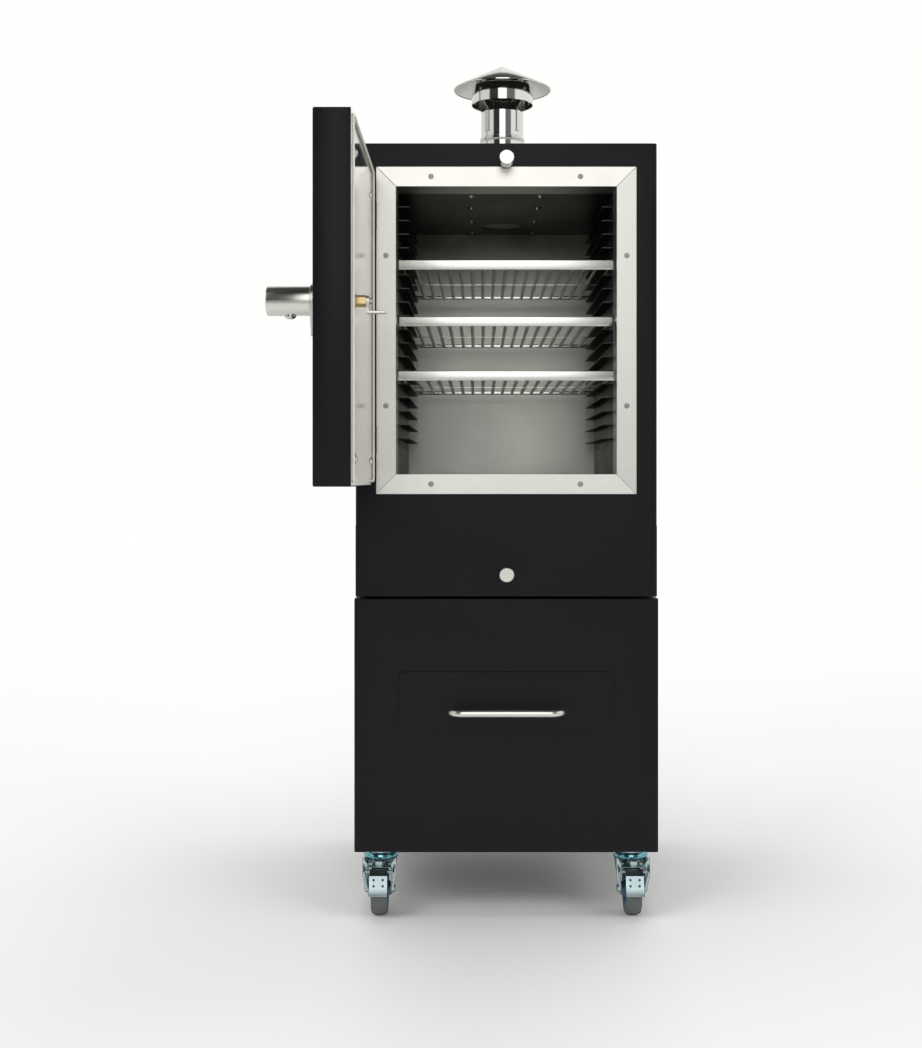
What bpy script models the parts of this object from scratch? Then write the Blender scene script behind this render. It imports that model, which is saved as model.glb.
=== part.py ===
"""Cabinet smoker: an insulated upper oven on a base cabinet with a drawer and four castors.

Frame: metres, +Z up, floor at Z = 0, the front looks along -Y and the door stands open at rest.
The drawing coordinates below have X = 0 on the cabinet's centre plane and Y = 0 on the oven's
front face. One root empty then moves the drawing so that the origin is under the middle of
the whole object's box.
"""

import math

import bmesh
import bpy
from mathutils import Matrix, Vector
from mathutils.geometry import delaunay_2d_cdt

# ---- driving dimensions (metres) ----
GAP = 0.0003            # clearance between touching solids
SHEET = 0.002           # sheet metal thickness

BASE_HALF = 0.3675      # base cabinet half width
BASE_FRONT = -0.0025    # base front and rear stand a touch proud of the oven
BASE_REAR = 0.8325
BASE_LOW, BASE_HIGH = 0.160, 0.772

OVEN_HALF = 0.365
OVEN_DEPTH = 0.830
OVEN_LOW, OVEN_HIGH = 0.778, 1.875

CAVITY_HALF = 0.270     # inside faces of the cooking chamber
CAVITY_FRONT, CAVITY_REAR = 0.0905, 0.740
CAVITY_LOW, CAVITY_HIGH = 1.060, 1.7725

FRAME_HALF = 0.3146     # stainless door frame, outer edges
FRAME_LOW, FRAME_HIGH = 1.026, 1.817
FRAME_FACE = 0.048      # width of its face
FRAME_PROUD = 0.008     # how far its face stands in front of the oven
FRAME_RETURN = 0.090    # how far its inner flange runs back
KEEPER_SLOT = ((0.010, 0.067), (1.395, 1.446))      # Y and Z spans of the latch slot

PIN_X, PIN_Y = -0.321, -0.014                       # door hinge axis
DOOR_THICK = 0.078
DOOR_NEAR, DOOR_FAR = 0.018, 0.624                  # edges, measured from the pin
DOOR_LOW, DOOR_HIGH = 1.047, 1.807
DOOR_BACK = PIN_X - 0.0005                          # inside face of the open door
GASKET_RISE = 0.006
HINGE_LOWS = (1.123, 1.665)
HINGE_TALL = 0.066

LATCH_REACH = 0.565                                 # spindle, measured from the pin
LATCH_Z = 1.425
TONGUE_DROP = 0.023

LEDGE_COUNT = 18
LEDGE_TOP, LEDGE_PITCH = 1.741, 0.0339
LEDGE_TIP, LEDGE_FRONT, LEDGE_REAR = 0.2405, 0.105, 0.690
RACK_LEDGES = {"upper": 5, "middle": 9, "lower": 13}
RACK_FRONTS = {"upper": 0.020, "middle": 0.044, "lower": 0.004}
RACK_LONG, RACK_HALF, RACK_BAR_HALF, RACK_BAR_TALL = 0.620, 0.260, 0.262, 0.0235
RACK_RODS = 17

FLUE_Y = 0.605
FLUE_R, SLEEVE_R, FLUE_TOP, SLEEVE_TOP = 0.0598, 0.063, 2.093, 2.021
BAND_R, BAND_LOW, BAND_HIGH = 0.087, 2.114, 2.166
CAP_R, CAP_RIM, CAP_APEX = 0.1365, 2.160, 2.225

KNOB_UPPER_Z, KNOB_LOWER_Z = 1.828, 0.834
KNOB_R, KNOB_LONG, KNOB_OFF = 0.018, 0.050, 0.018
ROD_R = 0.005

DRAWER_HALF, DRAWER_LOW, DRAWER_HIGH = 0.260, 0.4425, 0.596
DRAWER_HANDLE_Z = 0.504

CASTOR_X, CASTOR_INSET, CASTOR_TRAIL = 0.308, 0.0775, 0.040
WHEEL_R, WHEEL_HALF, AXLE_Z = 0.0625, 0.020, 0.0625
WHEEL_STEPS = 24
PEDAL_PIVOT = (-0.047, 0.1145)                      # from the axle, Y towards the front, and Z

HANDLE_OUT = DOOR_BACK - DOOR_THICK - 0.0985        # outer end of the door handle
ROOT = Vector((-(HANDLE_OUT + BASE_HALF) / 2, -(PIN_Y - DOOR_FAR + BASE_REAR) / 2, 0))


# ---- scene helpers ----
def clear_scene():
    for obj in list(bpy.data.objects):
        bpy.data.objects.remove(obj)


def finish(name, colour, roughness, metallic):
    """A Principled material with one colour, roughness and metallic value."""
    material = bpy.data.materials.new(name)
    material.use_nodes = True
    shader = material.node_tree.nodes["Principled BSDF"]
    shader.inputs["Base Color"].default_value = (*colour, 1)
    shader.inputs["Roughness"].default_value = roughness
    shader.inputs["Metallic"].default_value = metallic
    return material


PLACES = {}


def body(name, at=(0, 0, 0), parent=None):
    """An empty that carries a rigid body, standing on its joint's axis."""
    empty = bpy.data.objects.new(name, None)
    bpy.context.scene.collection.objects.link(empty)
    PLACES[name] = Vector(at)
    empty.parent = parent
    empty.location = PLACES[name] - PLACES[parent.name] if parent else ROOT
    return empty


def node(name, mesh, look, parent):
    """One sub-part. Its mesh is drawn in the cabinet's frame and re-based on its parent's axis."""
    mesh.name = name
    mesh.transform(Matrix.Translation(-PLACES[parent.name]))
    mesh.materials.clear()
    mesh.materials.append(finish(name, *look))
    mesh.shade_smooth()
    mesh.set_sharp_from_angle(angle=math.radians(35))
    obj = bpy.data.objects.new(name, mesh)
    bpy.context.scene.collection.objects.link(obj)
    obj.parent = parent
    return obj


def to_mesh(bm):
    bmesh.ops.recalc_face_normals(bm, faces=bm.faces)
    mesh = bpy.data.meshes.new("shape")
    bm.to_mesh(mesh)
    bm.free()
    return mesh


def combine(base, others, operation):
    """The mesh left after an exact Boolean of base with each of the others, in turn."""
    objects = []
    for mesh in [base, *others]:
        obj = bpy.data.objects.new("helper", mesh)
        bpy.context.scene.collection.objects.link(obj)
        objects.append(obj)
    for other in objects[1:]:
        modifier = objects[0].modifiers.new("boolean", "BOOLEAN")
        modifier.operation = operation
        modifier.object = other
        modifier.solver = "EXACT"
    graph = bpy.context.evaluated_depsgraph_get()
    result = bpy.data.meshes.new_from_object(objects[0].evaluated_get(graph))
    for obj in objects:
        bpy.data.objects.remove(obj)
    return result


def fuse(*meshes):
    return combine(meshes[0], meshes[1:], "UNION")


def cut(base, *cutters):
    return combine(base, cutters, "DIFFERENCE")


# ---- shape helpers ----
def block(xs, ys, zs, edge=0.0, steps=2):
    """A box between pairs of X, Y and Z, with its edges rounded where edge is given."""
    bm = bmesh.new()
    bmesh.ops.create_cube(bm, size=1)
    size = Vector((xs[1] - xs[0], ys[1] - ys[0], zs[1] - zs[0]))
    middle = Vector((xs[0] + xs[1], ys[0] + ys[1], zs[0] + zs[1])) / 2
    for vert in bm.verts:
        vert.co = Vector(c * s for c, s in zip(vert.co, size)) + middle
    if edge:
        bmesh.ops.bevel(bm, geom=bm.edges, offset=edge, segments=steps, affect="EDGES",
                        profile=0.5)
    return to_mesh(bm)


def rounded(half_u, half_v, radius, centre=(0, 0), steps=4):
    """The points of a rectangle with round corners."""
    points = []
    for corner, (su, sv) in enumerate(((1, 1), (-1, 1), (-1, -1), (1, -1))):
        for step in range(steps + 1):
            angle = math.radians(90 * (corner + step / steps))
            points.append((centre[0] + su * (half_u - radius) + radius * math.cos(angle),
                           centre[1] + sv * (half_v - radius) + radius * math.sin(angle)))
    return points


def circle(radius, centre=(0, 0), steps=24):
    turns = [math.tau * (k + 0.5) / steps for k in range(steps)]
    return [(centre[0] + radius * math.cos(t), centre[1] + radius * math.sin(t)) for t in turns]


def place(axis, u, v, w):
    """A point from two outline coordinates and the distance along axis X, Y or Z."""
    return {"X": (w, u, v), "Y": (u, w, v), "Z": (u, v, w)}[axis]


def prism(outline, axis, span, warp=None):
    """An outline swept along an axis. warp(u, v, end) may give each end's own distance."""
    count = len(outline)
    inside = delaunay_2d_cdt([Vector(p) for p in outline], [], [list(range(count))], 1, 1e-7)
    bm = bmesh.new()
    ends = []
    for end, w in enumerate(span):
        ends.append([bm.verts.new(place(axis, u, v, warp(u, v, end) if warp else w))
                     for u, v in outline])
        for corners in inside[2]:
            bm.faces.new([ends[-1][k] for k in corners])
    for k in range(count):
        bm.faces.new((ends[0][k], ends[0][(k + 1) % count],
                      ends[1][(k + 1) % count], ends[1][k]))
    return to_mesh(bm)


def ring_prism(outer, inner, axis, span):
    """A tube whose outer and inner outlines have the same number of points."""
    bm = bmesh.new()
    loops = [[bm.verts.new(place(axis, u, v, w)) for u, v in outline]
             for w in span for outline in (outer, inner)]
    count = len(outer)
    for one, two in ((0, 1), (1, 3), (3, 2), (2, 0)):
        for k in range(count):
            after = (k + 1) % count
            bm.faces.new((loops[one][k], loops[one][after], loops[two][after], loops[two][k]))
    return to_mesh(bm)


def turned(profile, axis, centre, steps=24):
    """A closed profile of (radius, distance) points turned about an axis through centre (u, v)."""
    bm = bmesh.new()
    rings = []
    for radius, w in profile:
        if radius == 0:
            rings.append([bm.verts.new(place(axis, *centre, w))])
        else:
            rings.append([bm.verts.new(place(axis, u, v, w))
                          for u, v in circle(radius, centre, steps)])
    for one, two in zip(rings, rings[1:] + rings[:1]):
        if len(one) == 1 and len(two) == 1:
            continue
        for k in range(steps):
            after = (k + 1) % steps
            corners = [one[k % len(one)], one[after % len(one)],
                       two[after % len(two)], two[k % len(two)]]
            bm.faces.new(list(dict.fromkeys(corners)))
    return to_mesh(bm)


def rod(axis, centre, span, radius, steps=12):
    return turned([(0, span[0]), (radius, span[0]), (radius, span[1]), (0, span[1])],
                  axis, centre, steps)


def bent_rod(route, radius, corner, sides=12, steps=5):
    """A round bar along a planar route at constant Z whose corners are bent to a radius."""
    path = [Vector(route[0])]
    for before, at, after in zip(route, route[1:], route[2:]):
        at = Vector(at)
        back = (Vector(before) - at).normalized() * corner
        on = (Vector(after) - at).normalized() * corner
        for step in range(steps + 1):
            t = step / steps
            path.append(at + back * (1 - t) ** 2 + on * t ** 2)
    path.append(Vector(route[-1]))
    bm = bmesh.new()
    rings = []
    for k, point in enumerate(path):
        tangent = (path[min(k + 1, len(path) - 1)] - path[max(k - 1, 0)]).normalized()
        side = tangent.cross(Vector((0, 0, 1)))
        rings.append([bm.verts.new(point + side * u + Vector((0, 0, v)))
                      for u, v in circle(radius, steps=sides)])
    for one, two in zip(rings, rings[1:]):
        for k in range(sides):
            after = (k + 1) % sides
            bm.faces.new((one[k], one[after], two[after], two[k]))
    bm.faces.new(rings[0])
    bm.faces.new(rings[-1])
    return to_mesh(bm)


# ---- finishes: colour, roughness, metallic ----
BLACK = ((0.014, 0.014, 0.018), 0.42, 0.0)
BRUSHED = ((0.62, 0.61, 0.58), 0.30, 1.0)
POLISHED = ((0.66, 0.66, 0.64), 0.14, 1.0)
LINER = ((0.40, 0.39, 0.37), 0.38, 1.0)
BRIGHT = ((0.80, 0.80, 0.76), 0.22, 1.0)
ZINC = ((0.60, 0.68, 0.68), 0.32, 1.0)
TYRE = ((0.12, 0.13, 0.13), 0.65, 0.0)
CREAM = ((0.80, 0.79, 0.72), 0.60, 0.0)
WOOL = ((0.70, 0.66, 0.50), 0.95, 0.0)
BRASS = ((0.72, 0.55, 0.28), 0.28, 1.0)
IRON = ((0.03, 0.03, 0.03), 0.60, 1.0)


def base_cabinet(root):
    """The stand: a folded casing with a drawer opening, a floor, a top and a drawer shelf."""
    middle_y = (BASE_FRONT + BASE_REAR) / 2
    half_y = (BASE_REAR - BASE_FRONT) / 2
    casing = ring_prism(rounded(BASE_HALF, half_y, 0.006, (0, middle_y)),
                        rounded(BASE_HALF - SHEET, half_y - SHEET, 0.004, (0, middle_y)),
                        "Z", (BASE_LOW, BASE_HIGH))
    opening = block((-0.252, 0.252), (-0.02, 0.02), (0.4505, 0.588))
    node("base_casing", cut(casing, opening), BLACK, root)
    inside = BASE_HALF - SHEET - GAP
    front, rear = BASE_FRONT + SHEET + GAP, BASE_REAR - SHEET - GAP
    plate = rounded(inside, (rear - front) / 2, 0.004, (0, (front + rear) / 2))
    node("base_floor", prism(plate, "Z", (BASE_LOW, BASE_LOW + 0.004)), BLACK, root)
    node("base_top", prism(plate, "Z", (BASE_HIGH - 0.004, BASE_HIGH)), BLACK, root)
    low, high, lip, bed = 0.4470, 0.4500, 0.4720, 0.4485
    half = [(inside, low), (inside, high), (0.2570, high), (0.2570, lip), (0.2550, lip),
            (0.2550, bed)]
    shelf = half + [(-x, z) for x, z in reversed(half)]
    node("drawer_shelf", prism(shelf, "Y", (front + 0.006, 0.640)), ZINC, root)


def drawer(root):
    """The shallow drawer: a tray, a raised front plate and a bent bar handle."""
    slide = body("drawer", (0, BASE_FRONT, (DRAWER_LOW + DRAWER_HIGH) / 2), root)
    plate_front = BASE_FRONT - GAP - 0.004
    tray_back = 0.600
    outer = block((-0.2505, 0.2505), (BASE_FRONT, tray_back), (0.4525, 0.580))
    hollow = block((-0.2485, 0.2485), (BASE_FRONT + SHEET, tray_back - SHEET), (0.4545, 0.60))
    node("drawer_tray", cut(outer, hollow), ZINC, slide)
    outline = rounded(DRAWER_HALF, (DRAWER_HIGH - DRAWER_LOW) / 2, 0.012,
                      (0, (DRAWER_LOW + DRAWER_HIGH) / 2))
    node("drawer_front", prism(outline, "Y", (plate_front, BASE_FRONT - GAP)), BLACK, slide)
    half, out = 0.1355, plate_front - 0.0555
    route = [(-half, plate_front - GAP, DRAWER_HANDLE_Z), (-half, out, DRAWER_HANDLE_Z),
             (half, out, DRAWER_HANDLE_Z), (half, plate_front - GAP, DRAWER_HANDLE_Z)]
    node("drawer_handle", bent_rod(route, 0.0095, 0.030), BRUSHED, slide)


def oven_casing(root):
    """The black outer shell of the oven with its door window, roof and floor."""
    middle = (0, OVEN_DEPTH / 2)
    casing = ring_prism(rounded(OVEN_HALF, OVEN_DEPTH / 2, 0.008, middle),
                        rounded(OVEN_HALF - SHEET, OVEN_DEPTH / 2 - SHEET, 0.006, middle),
                        "Z", (OVEN_LOW, OVEN_HIGH))
    window = block((-0.300, 0.300), (-0.02, 0.02), (1.041, 1.802))
    holes = [rod("Y", (0, z), (-0.02, 0.02), 0.0075) for z in (KNOB_LOWER_Z, KNOB_UPPER_Z)]
    node("oven_casing", cut(casing, window, *holes), BLACK, root)
    inside = OVEN_HALF - SHEET - GAP
    plate = rounded(inside, OVEN_DEPTH / 2 - SHEET - GAP, 0.006, middle)
    roof = prism(plate, "Z", (OVEN_HIGH - 0.003, OVEN_HIGH))
    flue_hole = rod("Z", (0, FLUE_Y), (OVEN_HIGH - 0.02, OVEN_HIGH + 0.02), SLEEVE_R + GAP, 32)
    node("oven_roof", cut(roof, flue_hole), BLACK, root)
    floor = prism(plate, "Z", (OVEN_LOW, OVEN_LOW + 0.003))
    inlet = block((-0.058, 0.058), (0.152, 0.248), (OVEN_LOW - 0.01, OVEN_LOW + 0.02))
    node("oven_floor", cut(floor, inlet), BLACK, root)


def door_frame(root):
    """Four mitred stainless strips: a face, an outer lip and a flange back into the opening."""
    flange, lip = SHEET, SHEET
    # (distance in from the outer edge, Y), walked once round the folded section
    section = [(0, -GAP), (0, -FRAME_PROUD), (FRAME_FACE, -FRAME_PROUD),
               (FRAME_FACE, FRAME_RETURN), (FRAME_FACE - flange, FRAME_RETURN),
               (FRAME_FACE - flange, -FRAME_PROUD + SHEET), (lip, -FRAME_PROUD + SHEET),
               (lip, -GAP)]
    mitre = GAP / 2
    spans = {"left": ("Z", -FRAME_HALF, 1, FRAME_LOW, FRAME_HIGH),
             "right": ("Z", FRAME_HALF, -1, FRAME_LOW, FRAME_HIGH),
             "bottom": ("X", FRAME_LOW, 1, -FRAME_HALF, FRAME_HALF),
             "top": ("X", FRAME_HIGH, -1, -FRAME_HALF, FRAME_HALF)}
    for name, (axis, edge, inward, low, high) in spans.items():
        if axis == "Z":
            outline = [(edge + inward * d, y) for d, y in section]
            depth = lambda u, v, edge=edge, inward=inward: (u - edge) * inward
        else:
            outline = [(y, edge + inward * d) for d, y in section]
            depth = lambda u, v, edge=edge, inward=inward: (v - edge) * inward
        warp = lambda u, v, end, low=low, high=high, depth=depth: (
            (high - depth(u, v) - mitre) if end else (low + depth(u, v) + mitre))
        mesh = prism(outline, axis, (low, high), warp)
        if name == "right":
            (y0, y1), (z0, z1) = KEEPER_SLOT
            mesh = cut(mesh, block((0.260, 0.280), (y0, y1), (z0, z1)))
        node(f"frame_{name}", mesh, BRUSHED, root)


def cooking_chamber(root):
    """The stainless liner, its insulation, the ember well, the grate and the rack ledges."""
    wall = SHEET
    shell = block((-CAVITY_HALF - wall, CAVITY_HALF + wall),
                  (CAVITY_FRONT, CAVITY_REAR + wall), (CAVITY_LOW - wall, CAVITY_HIGH + wall))
    hollow = block((-CAVITY_HALF, CAVITY_HALF), (CAVITY_FRONT - 0.02, CAVITY_REAR),
                   (CAVITY_LOW, CAVITY_HIGH))
    flue_hole = rod("Z", (0, FLUE_Y), (CAVITY_HIGH - 0.01, CAVITY_HIGH + 0.01), 0.056, 32)
    well_hole = block((-0.190, 0.190), (0.170, 0.610), (CAVITY_LOW - 0.01, CAVITY_LOW + 0.01))
    node("cavity_liner", cut(shell, hollow, flue_hole, well_hole), LINER, root)

    outer = prism(rounded(0.3622, 0.3671, 0.010, (0, 0.4601)), "Z", (0.7815, 1.8715))
    liner_room = block((-0.2724, 0.2724), (0.08, CAVITY_REAR + 0.0025), (1.0555, 1.7750))
    damper_room = block((-0.100, 0.100), (0.08, 0.715), (1.7700, 1.850))
    flue_room = rod("Z", (0, FLUE_Y), (1.76, 1.90), SLEEVE_R + 0.001, 32)
    well_room = block((-0.205, 0.205), (0.08, 0.640), (0.77, 1.06))
    node("oven_insulation", cut(outer, liner_room, damper_room, flue_room, well_room),
         WOOL, root)

    low, high = 0.925, CAVITY_LOW - wall - GAP
    well = cut(block((-0.195, 0.195), (0.160, 0.620), (low, high)),
               block((-0.192, 0.192), (0.163, 0.617), (low + 0.003, high + 0.02)),
               block((-0.050, 0.050), (0.175, 0.235), (low - 0.01, low + 0.01)))
    node("ember_well", well, IRON, root)
    node("air_duct",
         cut(ring_prism(rounded(0.060, 0.050, 0.001, (0, 0.200), 1),
                        rounded(0.057, 0.047, 0.0005, (0, 0.200), 1),
                        "Z", (OVEN_LOW + 0.0033, low - GAP)),
             block((-0.0563, 0.0563), (0.14, 0.16),
                   (KNOB_LOWER_Z - 0.0065, KNOB_LOWER_Z + 0.0065))), ZINC, root)

    lift = body("charcoal_grate_body", (0, 0.390, CAVITY_LOW), root)
    bars = [block((x - 0.003, x + 0.003), (0.150, 0.630), (1.0620, 1.0700))
            for x in [-0.198 + 0.022 * k for k in range(19)]]
    ties = [block((-0.212, 0.212), ys, (1.0604, 1.0720))
            for ys in ((0.148, 0.156), (0.386, 0.394), (0.624, 0.632))]
    node("charcoal_grate", fuse(*ties, *bars), IRON, lift)

    for name, side in (("left", -1), ("right", 1)):
        outline = [(CAVITY_HALF - GAP, 1.145), (CAVITY_HALF - GAP, 1.760),
                   (CAVITY_HALF - 0.0023, 1.760)]
        for k in range(LEDGE_COUNT):
            top = LEDGE_TOP - k * LEDGE_PITCH
            outline += [(CAVITY_HALF - 0.0023, top), (LEDGE_TIP, top),
                        (LEDGE_TIP, top - 0.002), (CAVITY_HALF - 0.0023, top - 0.002)]
        outline.append((CAVITY_HALF - 0.0023, 1.145))
        node(f"rack_ledges_{name}",
             prism([(side * x, z) for x, z in outline], "Y", (LEDGE_FRONT, LEDGE_REAR)),
             BRIGHT, root)


def racks(root):
    """Three sliding racks: a tall front bar, two side bars, a rear bar and lengthwise rods."""
    for name, ledge in RACK_LEDGES.items():
        front = RACK_FRONTS[name]
        rear = front + RACK_LONG
        low = LEDGE_TOP - ledge * LEDGE_PITCH + 0.0004
        slide = body(f"rack_{name}_body", (0, front, low), root)
        inner = RACK_HALF - 0.012
        solids = [block((-RACK_BAR_HALF, RACK_BAR_HALF), (front, front + 0.004),
                        (low, low + RACK_BAR_TALL), 0.0012, 1)]
        solids += [block(xs, (front + 0.002, rear), (low, low + 0.005))
                   for xs in ((-RACK_HALF, -inner), (inner, RACK_HALF))]
        solids += [block((-RACK_HALF, RACK_HALF), (rear - 0.008, rear), (low, low + 0.010)),
                   block((-inner - 0.001, inner + 0.001), (front + 0.300, front + 0.308),
                         (low, low + 0.0035))]
        pitch = 2 * inner / (RACK_RODS + 1)
        for k in range(RACK_RODS):
            x = -inner + pitch * (k + 1)
            solids.append(rod("Y", (x, low + 0.005), (front + 0.002, rear - 0.004), 0.0032, 4))
        node(f"rack_{name}", fuse(*solids), BRIGHT, slide)


def flue(root):
    """The chimney: sleeve, pipe, wind band on four stays, and the rain cap."""
    centre = (0, FLUE_Y)

    def pipe(outer, inner, low, high):
        return turned([(outer, high), (outer, low), (inner, low), (inner, high)],
                      "Z", centre, 32)

    node("flue_sleeve", pipe(SLEEVE_R, FLUE_R + GAP, 1.7795, SLEEVE_TOP), POLISHED, root)
    node("flue_pipe", pipe(FLUE_R, FLUE_R - SHEET, 1.900, FLUE_TOP), POLISHED, root)
    band = pipe(BAND_R, BAND_R - SHEET, BAND_LOW, BAND_HIGH)
    slope = (CAP_APEX - CAP_RIM) / CAP_R
    cap_under = CAP_APEX - 0.0035 - slope * BAND_R
    foot, step = FLUE_R + 0.0008, 0.003
    outline = [(foot, 2.035), (foot + step, 2.035), (foot + step, 2.092),
               (BAND_R - 0.0005, BAND_LOW + 0.004), (BAND_R - 0.0005, cap_under),
               (BAND_R - step - 0.0005, cap_under), (BAND_R - step - 0.0005, BAND_LOW + 0.007),
               (foot, 2.096)]
    stays = []
    for k in range(4):
        stay = prism(outline, "Y", (-0.006, 0.006))
        stay.transform(Matrix.Translation((0, FLUE_Y, 0))
                       @ Matrix.Rotation(math.radians(45 + 90 * k), 4, "Z"))
        stays.append(stay)
    node("wind_band", fuse(band, *stays), POLISHED, root)
    node("rain_cap", turned([(0, CAP_APEX), (CAP_R, CAP_RIM), (CAP_R, CAP_RIM - 0.004),
                             (CAP_R - 0.002, CAP_RIM - 0.004), (CAP_R - 0.002, CAP_RIM - 0.0015),
                             (0, CAP_APEX - 0.003)], "Z", centre, 48), POLISHED, root)


def pull_knob(z, grip_z_rod_end):
    """A hexagonal pull knob with a round collar behind it, bored for its rod."""
    back, front = -KNOB_OFF, -KNOB_OFF - KNOB_LONG
    collar = turned([(0, back), (0.015, back), (0.015, back - 0.006), (0, back - 0.006)],
                    "Y", (0, z), 24)
    grip = turned([(0, back - 0.005), (0.016, back - 0.005), (KNOB_R, back - 0.009),
                   (KNOB_R, front + 0.006), (0.012, front), (0, front)], "Y", (0, z), 6)
    bore = rod("Y", (0, z), (back + 0.01, grip_z_rod_end), ROD_R + GAP)
    return cut(fuse(collar, grip), bore)


def draught_slides(root):
    """The flue damper above the ceiling and the air shutter below, each pulled by its knob."""
    rail = [(0.0790, 1.7750), (0.0930, 1.7750), (0.0930, 1.7768), (0.0805, 1.7768),
            (0.0805, 1.7800), (0.0700, 1.7800), (0.0700, 1.7786), (0.0790, 1.7786)]
    rails = [prism([(side * x, z) for x, z in rail], "Y", (0.095, 0.695)) for side in (-1, 1)]
    tie = block((-0.0900, 0.0900), (0.6750, 0.6900), (1.7760, 1.7790))
    node("damper_guide", fuse(*rails, tie), ZINC, root)
    end = -KNOB_OFF - 0.030
    damper = body("damper", (0, 0, KNOB_UPPER_Z), root)
    plate = block((-0.0780, 0.0780), (0.128, 0.668), (1.7753, 1.7773))
    tab = block((-0.012, 0.012), (0.128, 0.131), (1.7755, KNOB_UPPER_Z + 0.009))
    pull = rod("Y", (0, KNOB_UPPER_Z), (end, 0.1295), ROD_R)
    node("damper_plate", fuse(plate, tab, pull), ZINC, damper)
    node("damper_knob", pull_knob(KNOB_UPPER_Z, end - GAP), BRIGHT, damper)

    shutter = body("air_shutter", (0, 0, KNOB_LOWER_Z), root)
    plate = block((-0.0555, 0.0555), (0.146, 0.2460), (KNOB_LOWER_Z - 0.001, KNOB_LOWER_Z + 0.001))
    pull = rod("Y", (0, KNOB_LOWER_Z), (end, 0.151), ROD_R)
    node("shutter_plate", fuse(plate, pull), ZINC, shutter)
    node("shutter_knob", pull_knob(KNOB_LOWER_Z, end - GAP), BRIGHT, shutter)


def door(root):
    """The open door: pan, stainless panel, gasket, wool, hinges and the turning latch."""
    swing = body("door", (PIN_X, PIN_Y, (DOOR_LOW + DOOR_HIGH) / 2), root)
    front, back = DOOR_BACK - DOOR_THICK, DOOR_BACK
    near, far = PIN_Y - DOOR_NEAR, PIN_Y - DOOR_FAR
    latch_y = PIN_Y - LATCH_REACH
    bore = rod("X", (latch_y, LATCH_Z), (front - 0.05, back + 0.05), 0.0072, 16)
    pan = cut(block((front, back), (far, near), (DOOR_LOW, DOOR_HIGH), 0.0035, 2),
              block((front + SHEET, back + 0.02), (far + SHEET, near - SHEET),
                    (DOOR_LOW + SHEET, DOOR_HIGH - SHEET)), bore)
    node("door_pan", pan, BLACK, swing)
    edge = SHEET + GAP
    node("door_panel",
         cut(block((back - 0.0020, back), (far + edge, near - edge),
                   (DOOR_LOW + edge, DOOR_HIGH - edge)), bore), POLISHED, swing)
    wool = block((front + SHEET + GAP, back - 0.0025), (far + edge, near - edge),
                 (DOOR_LOW + edge, DOOR_HIGH - edge))
    node("door_wool", cut(wool, bore), WOOL, swing)
    middle = ((near + far) / 2, (DOOR_LOW + DOOR_HIGH) / 2)
    half_y, half_z = (near - far) / 2 - 0.008, (DOOR_HIGH - DOOR_LOW) / 2 - 0.008
    node("door_gasket",
         ring_prism(rounded(half_y, half_z, 0.014, middle),
                    rounded(half_y - 0.006, half_z - 0.006, 0.008, middle),
                    "X", (back + GAP, back + GASKET_RISE)), CREAM, swing)
    hinges(root, swing, near)
    latch(swing, front, back, latch_y)


def hinges(root, swing, near):
    """Two lift-off hinges: the fixed half carries the pin, the door half drops over it."""
    for name, low in zip(("lower", "upper"), HINGE_LOWS):
        split, high = low + HINGE_TALL / 2, low + HINGE_TALL
        pin = (PIN_X, PIN_Y)
        fixed = fuse(block((PIN_X - 0.034, PIN_X - 0.008), (-0.0043, -GAP), (low, high)),
                     block((PIN_X - 0.0115, PIN_X - 0.002), (-0.0120, -0.0010),
                           (low, split - GAP)),
                     rod("Z", pin, (low, split - GAP), 0.008, 20),
                     rod("Z", pin, (low + 0.001, high - 0.002), 0.004, 16))
        node(f"hinge_{name}_fixed", fixed, BLACK, root)
        moving = fuse(block((DOOR_BACK - 0.070, PIN_X - 0.003), (near + GAP, near + 0.0043),
                            (low, high)),
                      block((PIN_X - 0.0075, PIN_X - 0.003), (near + 0.001, PIN_Y - 0.002),
                            (split, high)),
                      rod("Z", pin, (split, high), 0.008, 20))
        moving = cut(moving, rod("Z", pin, (split - 0.001, high - 0.0015), 0.0043, 16))
        node(f"hinge_{name}_moving", moving, BLACK, swing)


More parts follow.
